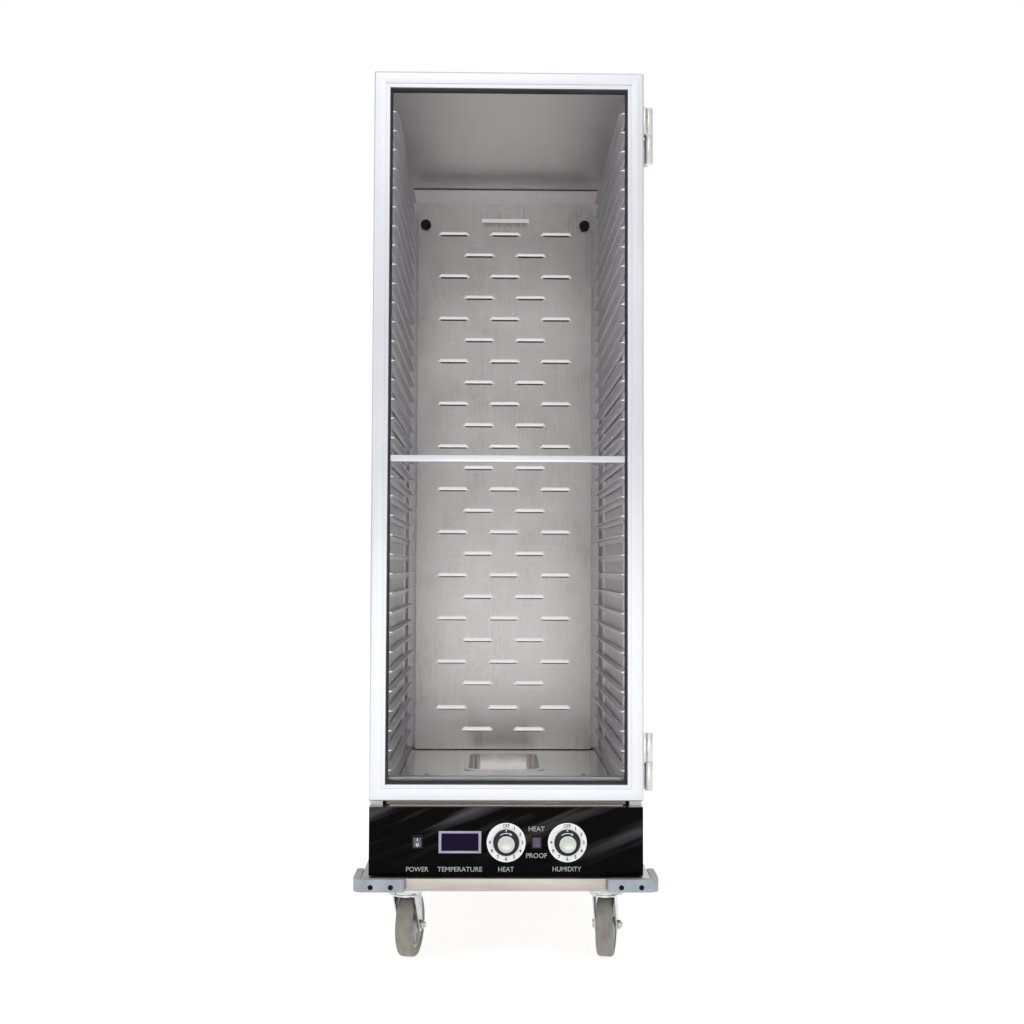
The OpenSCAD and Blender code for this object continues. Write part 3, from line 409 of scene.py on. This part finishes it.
def addDomes(bm, places, radius, height, turn, recess=False):
    # rivet or screw heads: a low dome, and a cross recess for a screw
    for place in places:
        head = bmesh.new()
        spinProfile(head, [(radius, 0), (radius, height * 0.35), (radius * 0.86, height * 0.7),
                           (radius * 0.5, height * 0.95), (0, height)], 12)
        if recess:
            for angle in (0, 90):
                slot = bmesh.ops.create_cube(head, size=1, matrix=turnBy(angle, "Z") @ toPlace(0, 0, height)
                                             @ sized(radius * 1.1, radius * 0.24, 0.05))
                for face in {f for v in slot["verts"] for f in v.link_faces}:
                    face.material_index = 1
        moveAll(head, toPlace(*place, turn))
        stampInto(bm, head)


# CAD nodes that keep their shape and take a finish
plainNodes = {
    "outer_side_left": shellSheet, "outer_side_right": shellSheet, "outer_back": shellSheet,
    "outer_top": shellSheet, "liner_wrap": linerSheetPaintedLighter, "liner_back": linerSheetPaintedLighter,
    "front_frame": shellSheet, "tray_slides_left": slideMetal, "tray_slides_right": slideMetal,
    "rack_posts": linerSheetPaintedLighter, "duct_panel": ductSteel, "door_stile_left": satinStile,
    "door_stile_right": satinStile, "door_rail_top": satinRail, "door_rail_bottom": satinRail,
    "door_pane_upper": clearPane, "door_pane_lower": clearPane, "glazing_gasket": gasketRubber,
    "door_seal": sealRubber, "module_tray": stainlessFlat, "control_panel": panelFilm,
    "display_window": smokedWindow, "floor_plate": plateSteel, "heating_elements": heaterSheath,
    "blower_housing": galvanised, "blower_motor": motorEnamel, "blower_wheel": galvanised,
}
for nodeName, finish in plainNodes.items():
    for held in nodes[nodeName].material_slots:
        held.material = finish
print("CAD nodes finished:", len(plainNodes))

# pieces whose edges are eased: finish, radius in mm and steps round it
easedNodes = {
    "corner_bumpers": (bumperVinyl, 5.2, 5), "bumper_screws": (blackOxide, 0.5, 2),
    "base_frame": (baseMetal, 1.2, 2), "castor_plates": (zincPlate, 0.5, 2),
    "hinge_leaves_cabinet": (hingeSteel, 0.6, 2), "hinge_leaves_door": (hingeSteel, 0.6, 2),
    "door_mid_rail": (satinRail, 0.8, 2), "duct_panel_handle": (handlePaintedHighlight, 1.1, 3),
    "display_bezel": (bezelPlastic, 1.1, 3), "switch_housings": (switchPlastic, 0.5, 2),
    "power_rocker": (powerRockerPlastic, 0.7, 3), "mode_rocker": (modeRockerPlastic, 0.7, 3),
    "cable_gland": (glandNylon, 0.5, 2),
}
corners = [("front_left", -1, -1), ("front_right", 1, -1), ("rear_left", -1, 1), ("rear_right", 1, 1)]
for name, sx, sy in corners:
    easedNodes["castor_fork_" + name] = (zincPlate, 0.6, 2)
    easedNodes["castor_axle_" + name] = (fastenerSteel, 0.6, 2)
for nodeName, (finish, radius, segments) in easedNodes.items():
    roundedCopy(nodeName, finish, radius, segments)
print("eased pieces made:", len(easedNodes))

# castor wheels: a tyre and a ribbed centre on each fork
castor = {"pinX": 191, "pinY": 368, "trail": 30, "yaw": -11, "axleZ": 60.5, "ribs": 6, "ribR": 26, "ribSide": 7.4,
          "rib": (23, 3, 7), "ribEase": 0.7}
tyreProfile = [(44, -15.5), (54.8, -15.5), (57.4, -14.9), (59.4, -13.1), (60.3, -10.4), (60.5, -8), (60.5, -0.8),
               (60.1, 0), (60.5, 0.8), (60.5, 8), (60.3, 10.4), (59.4, 13.1), (57.4, 14.9), (54.8, 15.5),
               (44, 15.5)]
hubProfile = [(5.05, -17), (12.6, -17), (13.6, -16.2), (14.4, -7.4), (16.5, -5.2), (34.5, -5.2), (37, -7.4),
              (38.2, -12.4), (39.2, -13.5), (44, -13.5), (44, 13.5), (39.2, 13.5), (38.2, 12.4), (37, 7.4),
              (34.5, 5.2), (16.5, 5.2), (14.4, 7.4), (13.6, 16.2), (12.6, 17), (5.05, 17)]
for name, sx, sy in corners:
    stand = toPlace(sx * castor["pinX"], sy * castor["pinY"], 0,
                    turnBy(castor["yaw"] + (180 if sy > 0 else 0), "Z"))
    stand = stand @ toPlace(0, castor["trail"], castor["axleZ"], facingRight)
    bm = bmesh.new()
    spinProfile(bm, tyreProfile, 96, closed=True)
    moveAll(bm, stand)
    finishPiece(bm, "castor_tyre_tread_" + name, [tyreRubber], "wheel_" + name,
                ["castor_tyre_" + name])
    bm = bmesh.new()
    spinProfile(bm, hubProfile, 64, closed=True)
    for side in (-1, 1):
        for k in range(castor["ribs"]):
            rib = Matrix.Rotation(math.tau * k / castor["ribs"], 4, "Z")
            rib = rib @ toPlace(castor["ribR"], 0, side * castor["ribSide"]) @ sized(*castor["rib"])
            ease(bm, edgesOf(bmesh.ops.create_cube(bm, size=1, matrix=rib)), castor["ribEase"], 2)
    moveAll(bm, stand)
    finishPiece(bm, "castor_wheel_centre_" + name, [hubNylon], "wheel_" + name,
                ["castor_hub_" + name])
print("castor wheels made")

# dial knobs, their caps and pointers
dial = {"x": {"heat": 0, "humidity": 116.7}, "z": 229.5, "panelFace": -400, "gap": 0.5, "steps": 72,
        "grip": {"flutes": 36, "low": 5.7, "high": 17, "outside": 14, "share": 0.955}}
knobProfile = [(0, -12), (3, -12), (3, 0), (24.3, 0), (25, 0.6), (25, 2.7), (24.5, 3.5), (21.4, 3.9), (20.9, 4.3),
               (20.7, 4.8), (20.2, 5), (16.7, 5), (15.9, 5.7), (15.5, 6.4), (15.1, 11), (14.9, 16.6), (15.2, 17.1),
               (14.9, 17.4), (0, 17.4)]
capProfile = [(0, 17.3), (15.3, 17.3), (15.8, 17.6), (16, 18.1), (15.8, 18.7), (15.2, 18.95), (14.4, 18.85),
              (13.8, 18.5), (0, 18.3)]
arrow = {"inner": 17.4, "outer": 19.1, "from": -38, "to": 24, "tip": 38, "halfHead": 2.9, "z": 5.05, "thick": 0.12,
         "tickR": 23.2, "tickZ": 3.85, "tick": 2.6}
spun = {"rings": 260.0, "tones": ("#b2b5ae", "#d4d7d0"), "roughness": (0.22, 0.34), "groove": 0.03}
for name, x in dial["x"].items():
    stand = toPlace(x, dial["panelFace"] - dial["gap"], dial["z"], facingFront)
    bm = bmesh.new()
    spinProfile(bm, knobProfile, dial["steps"])
    cutFlutes(bm, **dial["grip"])
    moveAll(bm, stand)
    finishPiece(bm, name + "_knob_grip", [knobPhenolic], name + "_knob", [name + "_knob"])
    # spun aluminium: fine turning rings, and a highlight that stretches across them
    spunCap, tree, shader, coords = newFinish(name + "SpunAluminiumCap", {"Metallic": 1.0, "Anisotropic": 0.7})
    centred = addNode(tree, "ShaderNodeMapping", {"Vector": coords, "Location": (-x * mm, 0, -dial["z"] * mm)})
    turning = addNode(tree, "ShaderNodeTexWave",
                      {"Vector": centred.outputs[0], "Scale": spun["rings"], "Distortion": 1.5, "Detail": 2.0},
                      {"wave_type": "RINGS", "rings_direction": "Y"}).outputs["Fac"]
    shade = addNode(tree, "ShaderNodeValToRGB", {"Fac": turning},
                    ramp=[(0.1, toLinear(spun["tones"][0])), (0.9, toLinear(spun["tones"][1]))]).outputs["Color"]
    gloss = addNode(tree, "ShaderNodeMapRange", {"Value": turning, "To Min": spun["roughness"][0],
                                                 "To Max": spun["roughness"][1]}).outputs[0]
    grooves = addNode(tree, "ShaderNodeBump", {"Height": turning, "Strength": 0.35,
                                               "Distance": spun["groove"] * mm})
    around = addNode(tree, "ShaderNodeTangent", settings={"direction_type": "RADIAL", "axis": "Y"}).outputs[0]
    for value, socket in ((shade, "Base Color"), (gloss, "Roughness"), (grooves.outputs[0], "Normal"),
                          (around, "Tangent")):
        tree.links.new(value, shader.inputs[socket])
    bm = bmesh.new()
    spinProfile(bm, capProfile, dial["steps"])
    moveAll(bm, stand)
    finishPiece(bm, name + "_knob_cap", [spunCap], name + "_knob")
    bm = bmesh.new()
    band = [bm.verts.new((0, r * mm, arrow["z"] * mm)) for r in (arrow["inner"], arrow["outer"])]
    bmesh.ops.rotate(bm, verts=band, cent=(0, 0, 0),
                     matrix=Matrix.Rotation(math.radians(-arrow["from"]), 3, "Z"))
    bmesh.ops.spin(bm, geom=band + [bm.edges.new(band)], cent=(0, 0, 0), axis=(0, 0, -1), dvec=(0, 0, 0),
                   angle=math.radians(arrow["to"] - arrow["from"]), steps=18)
    mid = (arrow["inner"] + arrow["outer"]) / 2
    head = [(mid - arrow["halfHead"], arrow["to"]), (mid + arrow["halfHead"], arrow["to"]), (mid, arrow["tip"])]
    bm.faces.new([bm.verts.new((r * math.sin(math.radians(a)) * mm, r * math.cos(math.radians(a)) * mm,
                                arrow["z"] * mm)) for r, a in head])
    tick = bmesh.ops.create_grid(bm, x_segments=1, y_segments=1, size=0.5)
    bmesh.ops.transform(bm, matrix=toPlace(0, arrow["tickR"], arrow["tickZ"])
                        @ sized(arrow["tick"], arrow["tick"], 1), verts=tick["verts"])
    bmesh.ops.recalc_face_normals(bm, faces=bm.faces)
    bmesh.ops.solidify(bm, geom=bm.faces[:], thickness=arrow["thick"] * mm)
    moveAll(bm, stand)
    finishPiece(bm, name + "_knob_pointer", [whiteInk], name + "_knob")


def addText(bm, words, x, y, z, height, width=None, bold=0.0):
    # flat lettering made a mesh first, then sized by its own box and stood up facing the front
    curve = bpy.data.curves.new("words", "FONT")
    curve.body, curve.align_x, curve.align_y = words, "CENTER", "CENTER"
    curve.extrude, curve.offset, curve.resolution_u = 0.006, bold, 4   # half thickness, in the font's own units
    holder = bpy.data.objects.new("words", curve)
    bpy.context.scene.collection.objects.link(holder)
    bpy.context.view_layer.update()
    mesh = bpy.data.meshes.new_from_object(holder.evaluated_get(bpy.context.evaluated_depsgraph_get()))
    bpy.data.objects.remove(holder)
    xs, ys = [v.co.x for v in mesh.vertices], [v.co.y for v in mesh.vertices]
    tall = height / (max(ys) - min(ys))
    wide = width / (max(xs) - min(xs)) if width else tall
    mesh.transform(toPlace(x, y, z, facingFront) @ sized(wide, tall, 10)
                   @ Matrix.Translation((-(max(xs) + min(xs)) / 2, -(max(ys) + min(ys)) / 2, 0)))
    bm.from_mesh(mesh)
    bpy.data.meshes.remove(mesh)


# printing on the panel: dial rings, numbers and plain function words
rings = {"inner": 19, "outer": 37, "depth": 0.14, "inkGap": 0.04, "numbers": 31, "numberHeight": 6.6,
         "numberStep": 30, "bold": 0.022, "off": {"rise": 0.4, "height": 6.8, "width": 13.2, "bold": 0.012}}
bm = bmesh.new()
for x in dial["x"].values():
    one = bmesh.new()
    spinProfile(one, [(rings["inner"], 0), (rings["inner"], rings["depth"]), (rings["outer"], rings["depth"]),
                      (rings["outer"], 0)], 96, closed=True)
    moveAll(one, toPlace(x, dial["panelFace"], dial["z"], facingFront))
    stampInto(bm, one)
finishPiece(bm, "dial_rings", [whiteInk], "heater_module")
bm = bmesh.new()
for x in dial["x"].values():
    face, off = dial["panelFace"] - rings["depth"] - rings["inkGap"], rings["off"]
    addText(bm, "OFF", x, face, dial["z"] + rings["numbers"] + off["rise"], off["height"], off["width"],
            off["bold"])
    for k in range(1, 10):
        angle = math.radians(rings["numberStep"] * k)
        addText(bm, str(k), x + rings["numbers"] * math.sin(angle), face,
                dial["z"] + rings["numbers"] * math.cos(angle), rings["numberHeight"], bold=rings["bold"])
finishPiece(bm, "dial_numbers", [blackInk], "heater_module")
lettering = {"height": 9, "bold": 0.008, "inkGap": 0.05}
labels = [("POWER", -169, 179, 42.5), ("TEMPERATURE", -88, 179, 85), ("HEAT", 0, 179, 30),
          ("HUMIDITY", 116, 179.5, 54.6), ("HEAT", 58, 255.4, 30.3), ("PROOF", 58, 204.9, 39.7)]
bm = bmesh.new()
for words, x, z, width in labels:
    addText(bm, words, x, dial["panelFace"] - lettering["inkGap"], z, lettering["height"], width,
            lettering["bold"])
finishPiece(bm, "panel_labels", [labelInk], "heater_module")

# I and O on the power rocker, laid on its two sloping faces
rocker = {"x": -169, "z": 231, "pivotY": -394, "tilt": 8, "slope": 8.97, "barAt": (0, -7.86, 5.3),
          "bar": (1.5, 0.12, 5.6), "barEase": 0.05, "ringAt": (0, -7.8, -4.9), "ringStretch": 1.15,
          "ring": [(1.5, -0.06), (2.6, -0.06), (2.6, 0.06), (1.5, 0.06)]}
bm = bmesh.new()
bar = toPlace(*rocker["barAt"], turnBy(rocker["slope"], "X")) @ sized(*rocker["bar"])
ease(bm, edgesOf(bmesh.ops.create_cube(bm, size=1, matrix=bar)), rocker["barEase"], 1)
ring = bmesh.new()
spinProfile(ring, rocker["ring"], 32, closed=True)
moveAll(ring, toPlace(*rocker["ringAt"], turnBy(-rocker["slope"], "X") @ facingFront)
        @ Matrix.Diagonal((1, rocker["ringStretch"], 1, 1)))
stampInto(bm, ring)
moveAll(bm, toPlace(rocker["x"], rocker["pivotY"], rocker["z"], turnBy(rocker["tilt"], "X")))
finishPiece(bm, "power_rocker_marks", [whiteInk], "power_rocker")
print("panel printing made")

# water pan: drawn tray with a rolled rim, worked inwards from the rim's edge
pan = {"y": 127, "rimZ": 308.2, "width": 178, "length": 272, "cornerR": 20, "wall": 0.9, "rim": 9, "wellR": 30,
       "rollIn": 0.7, "rollUp": 1.1, "wellTop": 1.2,   # steps are how far inwards and how far up, in turn
       "steps": [(1.0, -0.8), (2.0, -44), (2.0, -5), (3.6, -4.6), (5.6, -2.6), (7.0, -0.8)]}


def roundedSheet(bm, width, length, radius, z):
    # a flat sheet with rounded corners; its face comes back
    made = bmesh.ops.create_grid(bm, x_segments=1, y_segments=1, size=0.5)["verts"]
    bmesh.ops.transform(bm, matrix=toPlace(0, 0, z) @ sized(width, length, 1), verts=made)
    ease(bm, made, radius, 7, "VERTICES")
    return max(bm.faces, key=lambda f: f.calc_center_median().z)


bm = bmesh.new()
rimFace = roundedSheet(bm, pan["width"], pan["length"], pan["cornerR"], 0)
bmesh.ops.inset_region(bm, faces=[rimFace], use_boundary=True, use_even_offset=True,
                       thickness=pan["rollIn"] * mm, depth=pan["rollUp"] * mm)
rimEdges = rimFace.edges[:]
bmesh.ops.delete(bm, geom=[rimFace], context="FACES_ONLY")
wellFace = roundedSheet(bm, pan["width"] - 2 * pan["rim"], pan["length"] - 2 * pan["rim"], pan["wellR"],
                        pan["wellTop"])
bmesh.ops.bridge_loops(bm, edges=rimEdges + wellFace.edges[:])
middle = [wellFace]
for inwards, rise in pan["steps"]:
    bmesh.ops.inset_region(bm, faces=middle, use_boundary=True, use_even_offset=True, thickness=inwards * mm,
                           depth=rise * mm)
bmesh.ops.recalc_face_normals(bm, faces=bm.faces)
if max(bm.faces, key=lambda f: f.calc_area()).normal.z < 0:
    bmesh.ops.reverse_faces(bm, faces=bm.faces)
bmesh.ops.solidify(bm, geom=bm.faces[:], thickness=pan["wall"] * mm)
bmesh.ops.translate(bm, vec=Vector((0, pan["y"], pan["rimZ"] - pan["rollUp"])) * mm, verts=bm.verts)
finishPiece(bm, "water_pan_drawn", [panMetal], "water_pan", ["water_pan"])
print("water pan made")

# thumb knobs that hold the air-duct panel
thumb = {"x": 197.3, "z": 1604, "faceY": 327.5, "steps": 40,
         "grip": {"flutes": 20, "low": -3, "high": 12, "outside": 12, "share": 0.93}}
thumbProfile = [(0, -2.4), (2.9, -2.4), (2.9, 0), (7, 0), (7.8, 0.8), (8.1, 3), (11.6, 4), (12.8, 4.8), (13, 6),
                (13, 10.2), (12.5, 11.3), (11.2, 11.9), (6.4, 11.6), (5.2, 11.1), (0, 11)]
for side, sx in (("left", -1), ("right", 1)):
    bm = bmesh.new()
    spinProfile(bm, thumbProfile, thumb["steps"])
    cutFlutes(bm, **thumb["grip"])
    moveAll(bm, toPlace(sx * thumb["x"], thumb["faceY"], thumb["z"], facingFront))
    stood = ["duct_panel_knobs"] if sx < 0 else []
    finishPiece(bm, "thumb_knob_" + side, [thumbPhenolic], "cabinet", stood)

# rivets and screws: rows spaced evenly along the sheet's edges
shell = {"sideX": 261.5, "backY": 400, "edgeZ": (178, 1716), "rearY": 389, "backX": 251, "rivet": (3.4, 1.3)}
rowY = [-358 + 93 * k for k in range(9)]
rowZ = [262 + 118 * k for k in range(12)]
rowX = [-200 + 80 * k for k in range(6)]
bm = bmesh.new()
for sx, turn in ((1, facingRight), (-1, facingLeft)):
    addDomes(bm, [(sx * shell["sideX"], y, z) for y in rowY for z in shell["edgeZ"]]
             + [(sx * shell["sideX"], shell["rearY"], z) for z in rowZ], *shell["rivet"], turn)
addDomes(bm, [(x, shell["backY"], z) for x in rowX for z in shell["edgeZ"]]
         + [(x, shell["backY"], z) for x in (-shell["backX"], shell["backX"]) for z in rowZ],
         *shell["rivet"], facingBack)
finishPiece(bm, "shell_rivets", [fastenerSteel], "cabinet")
hinge = {"mids": (382.5, 1595.7), "offsets": (14, 41), "cabinetX": 264.5, "cabinetY": (-364, -347),
         "cabinetScrew": (4, 1.8), "doorX": 265.5, "doorY": -406.2, "doorScrew": (3.1, 1.4)}
bm = bmesh.new()
addDomes(bm, [(hinge["cabinetX"], y, mid - drop) for mid in hinge["mids"] for y in hinge["cabinetY"]
              for drop in hinge["offsets"]], *hinge["cabinetScrew"], facingRight, recess=True)
finishPiece(bm, "hinge_screws_cabinet", [fastenerSteel, blackOxide], "cabinet")
bm = bmesh.new()
addDomes(bm, [(hinge["doorX"], hinge["doorY"], mid + rise) for mid in hinge["mids"] for rise in hinge["offsets"]],
         *hinge["doorScrew"], facingRight, recess=True)
finishPiece(bm, "hinge_screws_door", [fastenerSteel, blackOxide], "door")
plateScrews = {"x": 169, "y": -64, "z": 306.8, "head": (4.6, 2)}
bm = bmesh.new()
addDomes(bm, [(x, plateScrews["y"], plateScrews["z"]) for x in (-plateScrews["x"], plateScrews["x"])],
         *plateScrews["head"], Matrix.Identity(4), recess=True)
finishPiece(bm, "floor_plate_screws", [fastenerSteel, blackOxide], "heater_module")
print("knobs, rivets and screws made")

# grey sealant along the seam of ceiling and back
bead = {"x": 237, "y": 377.9, "z": 1709.9, "r": 2.4}
bm = bmesh.new()
arc = [bm.verts.new((0, -bead["r"] * mm, 0))]
bmesh.ops.spin(bm, geom=arc, cent=(0, 0, 0), axis=(1, 0, 0), angle=math.radians(90), steps=4)
bm.faces.new([bm.verts.new((0, 0, 0))] + sorted(bm.verts[:-1], key=lambda v: v.co.z))
run = bmesh.ops.extrude_face_region(bm, geom=bm.faces[:])
bmesh.ops.translate(bm, vec=(2 * bead["x"] * mm, 0, 0),
                    verts=[v for v in run["geom"] if isinstance(v, bmesh.types.BMVert)])
bmesh.ops.translate(bm, vec=Vector((-bead["x"], bead["y"], bead["z"])) * mm, verts=bm.verts)
finishPiece(bm, "ceiling_seam_sealant", [sealantGrey], "cabinet")

# plain pale floor, lit from within so that it meets the surround
pale = {"radius": 14, "tones": ("#a8a8a8", "#b2b2b2"), "glow": 0.78}
floorFinish, tree, shader, coords = newFinish("paleStudioFloor", {"Roughness": 0.6, "Specular IOR Level": 0.1,
                                                                 "Emission Color": (1, 1, 1, 1),
                                                                 "Emission Strength": pale["glow"]})
weave = addNode(tree, "ShaderNodeTexNoise", {"Vector": coords, "Scale": 3.0, "Detail": 3.0}).outputs["Fac"]
weave = addNode(tree, "ShaderNodeValToRGB", {"Fac": weave},
                ramp=[(0.3, toLinear(pale["tones"][0])), (0.7, toLinear(pale["tones"][1]))]).outputs["Color"]
tree.links.new(weave, shader.inputs["Base Color"])
bm = bmesh.new()
bmesh.ops.create_circle(bm, cap_ends=True, segments=96, radius=pale["radius"])
mesh = bpy.data.meshes.new("studio_floor")
bm.to_mesh(mesh)
bm.free()
mesh.materials.append(floorFinish)
floor = bpy.data.objects.new("studio_floor", mesh)
bpy.context.scene.collection.objects.link(floor)

# studio: a white surround that is brighter in front, and soft boxes; places and sizes in metres
surround = {"front": 1.0, "back": 0.66, "seen": 1.0}
world = bpy.data.worlds.new("studio_surround")
world.use_nodes = True
bpy.context.scene.world = world
tree = world.node_tree
tree.nodes.clear()
way = addNode(tree, "ShaderNodeTexCoord").outputs["Generated"]
way = addNode(tree, "ShaderNodeSeparateXYZ", {"Vector": way}).outputs["Y"]
glow = addNode(tree, "ShaderNodeMapRange", {"Value": way, "From Min": -1.0, "From Max": 1.0,
                                            "To Min": surround["front"], "To Max": surround["back"]}).outputs[0]
lit = addNode(tree, "ShaderNodeBackground", {"Color": (1, 1, 1, 1), "Strength": glow}).outputs[0]
seen = addNode(tree, "ShaderNodeBackground", {"Color": (1, 1, 1, 1), "Strength": surround["seen"]}).outputs[0]
direct = addNode(tree, "ShaderNodeLightPath").outputs["Is Camera Ray"]
either = addNode(tree, "ShaderNodeMixShader", {0: direct, 1: lit, 2: seen}).outputs[0]
addNode(tree, "ShaderNodeOutputWorld", {"Surface": either})
bpy.context.scene.view_settings.view_transform = "Standard"

softBoxes = {
    "front_low": {"at": (0.0, -3.3, 0.42), "aim": (0, 0.3, 0.6), "size": (2.2, 0.7), "watts": 5},
    "front_high": {"at": (-0.2, -3.2, 3.0), "aim": (0, 0.3, 0.4), "size": (1.4, 1.0), "watts": 5.5},
    "key_left": {"at": (-2.4, -2.6, 2.2), "aim": (0, -0.2, 0.9), "size": (1.4, 1.8), "watts": 8},
    "overhead": {"at": (0.0, 0.2, 3.3), "aim": (0, 0.0, 0), "size": (2.2, 2.2), "watts": 3},
    "behind": {"at": (0.6, 3.0, 1.8), "aim": (0, 0.0, 0.9), "size": (2.0, 2.0), "watts": 9},
}
for name, box in softBoxes.items():
    lamp = bpy.data.lights.new(name, "AREA")
    lamp.shape, lamp.size, lamp.size_y, lamp.energy = "RECTANGLE", box["size"][0], box["size"][1], box["watts"]
    holder = bpy.data.objects.new(name, lamp)
    bpy.context.scene.collection.objects.link(holder)
    aim = Vector(box["aim"]) - Vector(box["at"])
    holder.matrix_world = Matrix.Translation(box["at"]) @ aim.to_track_quat("-Z", "Y").to_matrix().to_4x4()

# camera: place in metres, lens and sensor in mm, turns in radians
camera = {"at": (-0.03104, -2.9702, 0.75244), "lens": 46.978, "sensor": 36, "yaw": -0.0154, "tilt": 0.0418,
          "roll": 0.0041}
lens = bpy.data.cameras.new("front_camera")
lens.lens, lens.sensor_width = camera["lens"], camera["sensor"]
eye = bpy.data.objects.new("front_camera", lens)
bpy.context.scene.collection.objects.link(eye)
eye.matrix_world = (Matrix.Translation(camera["at"]) @ Matrix.Rotation(camera["yaw"], 4, "Z")
                    @ Matrix.Rotation(math.pi / 2 + camera["tilt"], 4, "X")
                    @ Matrix.Rotation(camera["roll"], 4, "Z"))
bpy.context.scene.camera = eye
print("floor, lights and camera set")
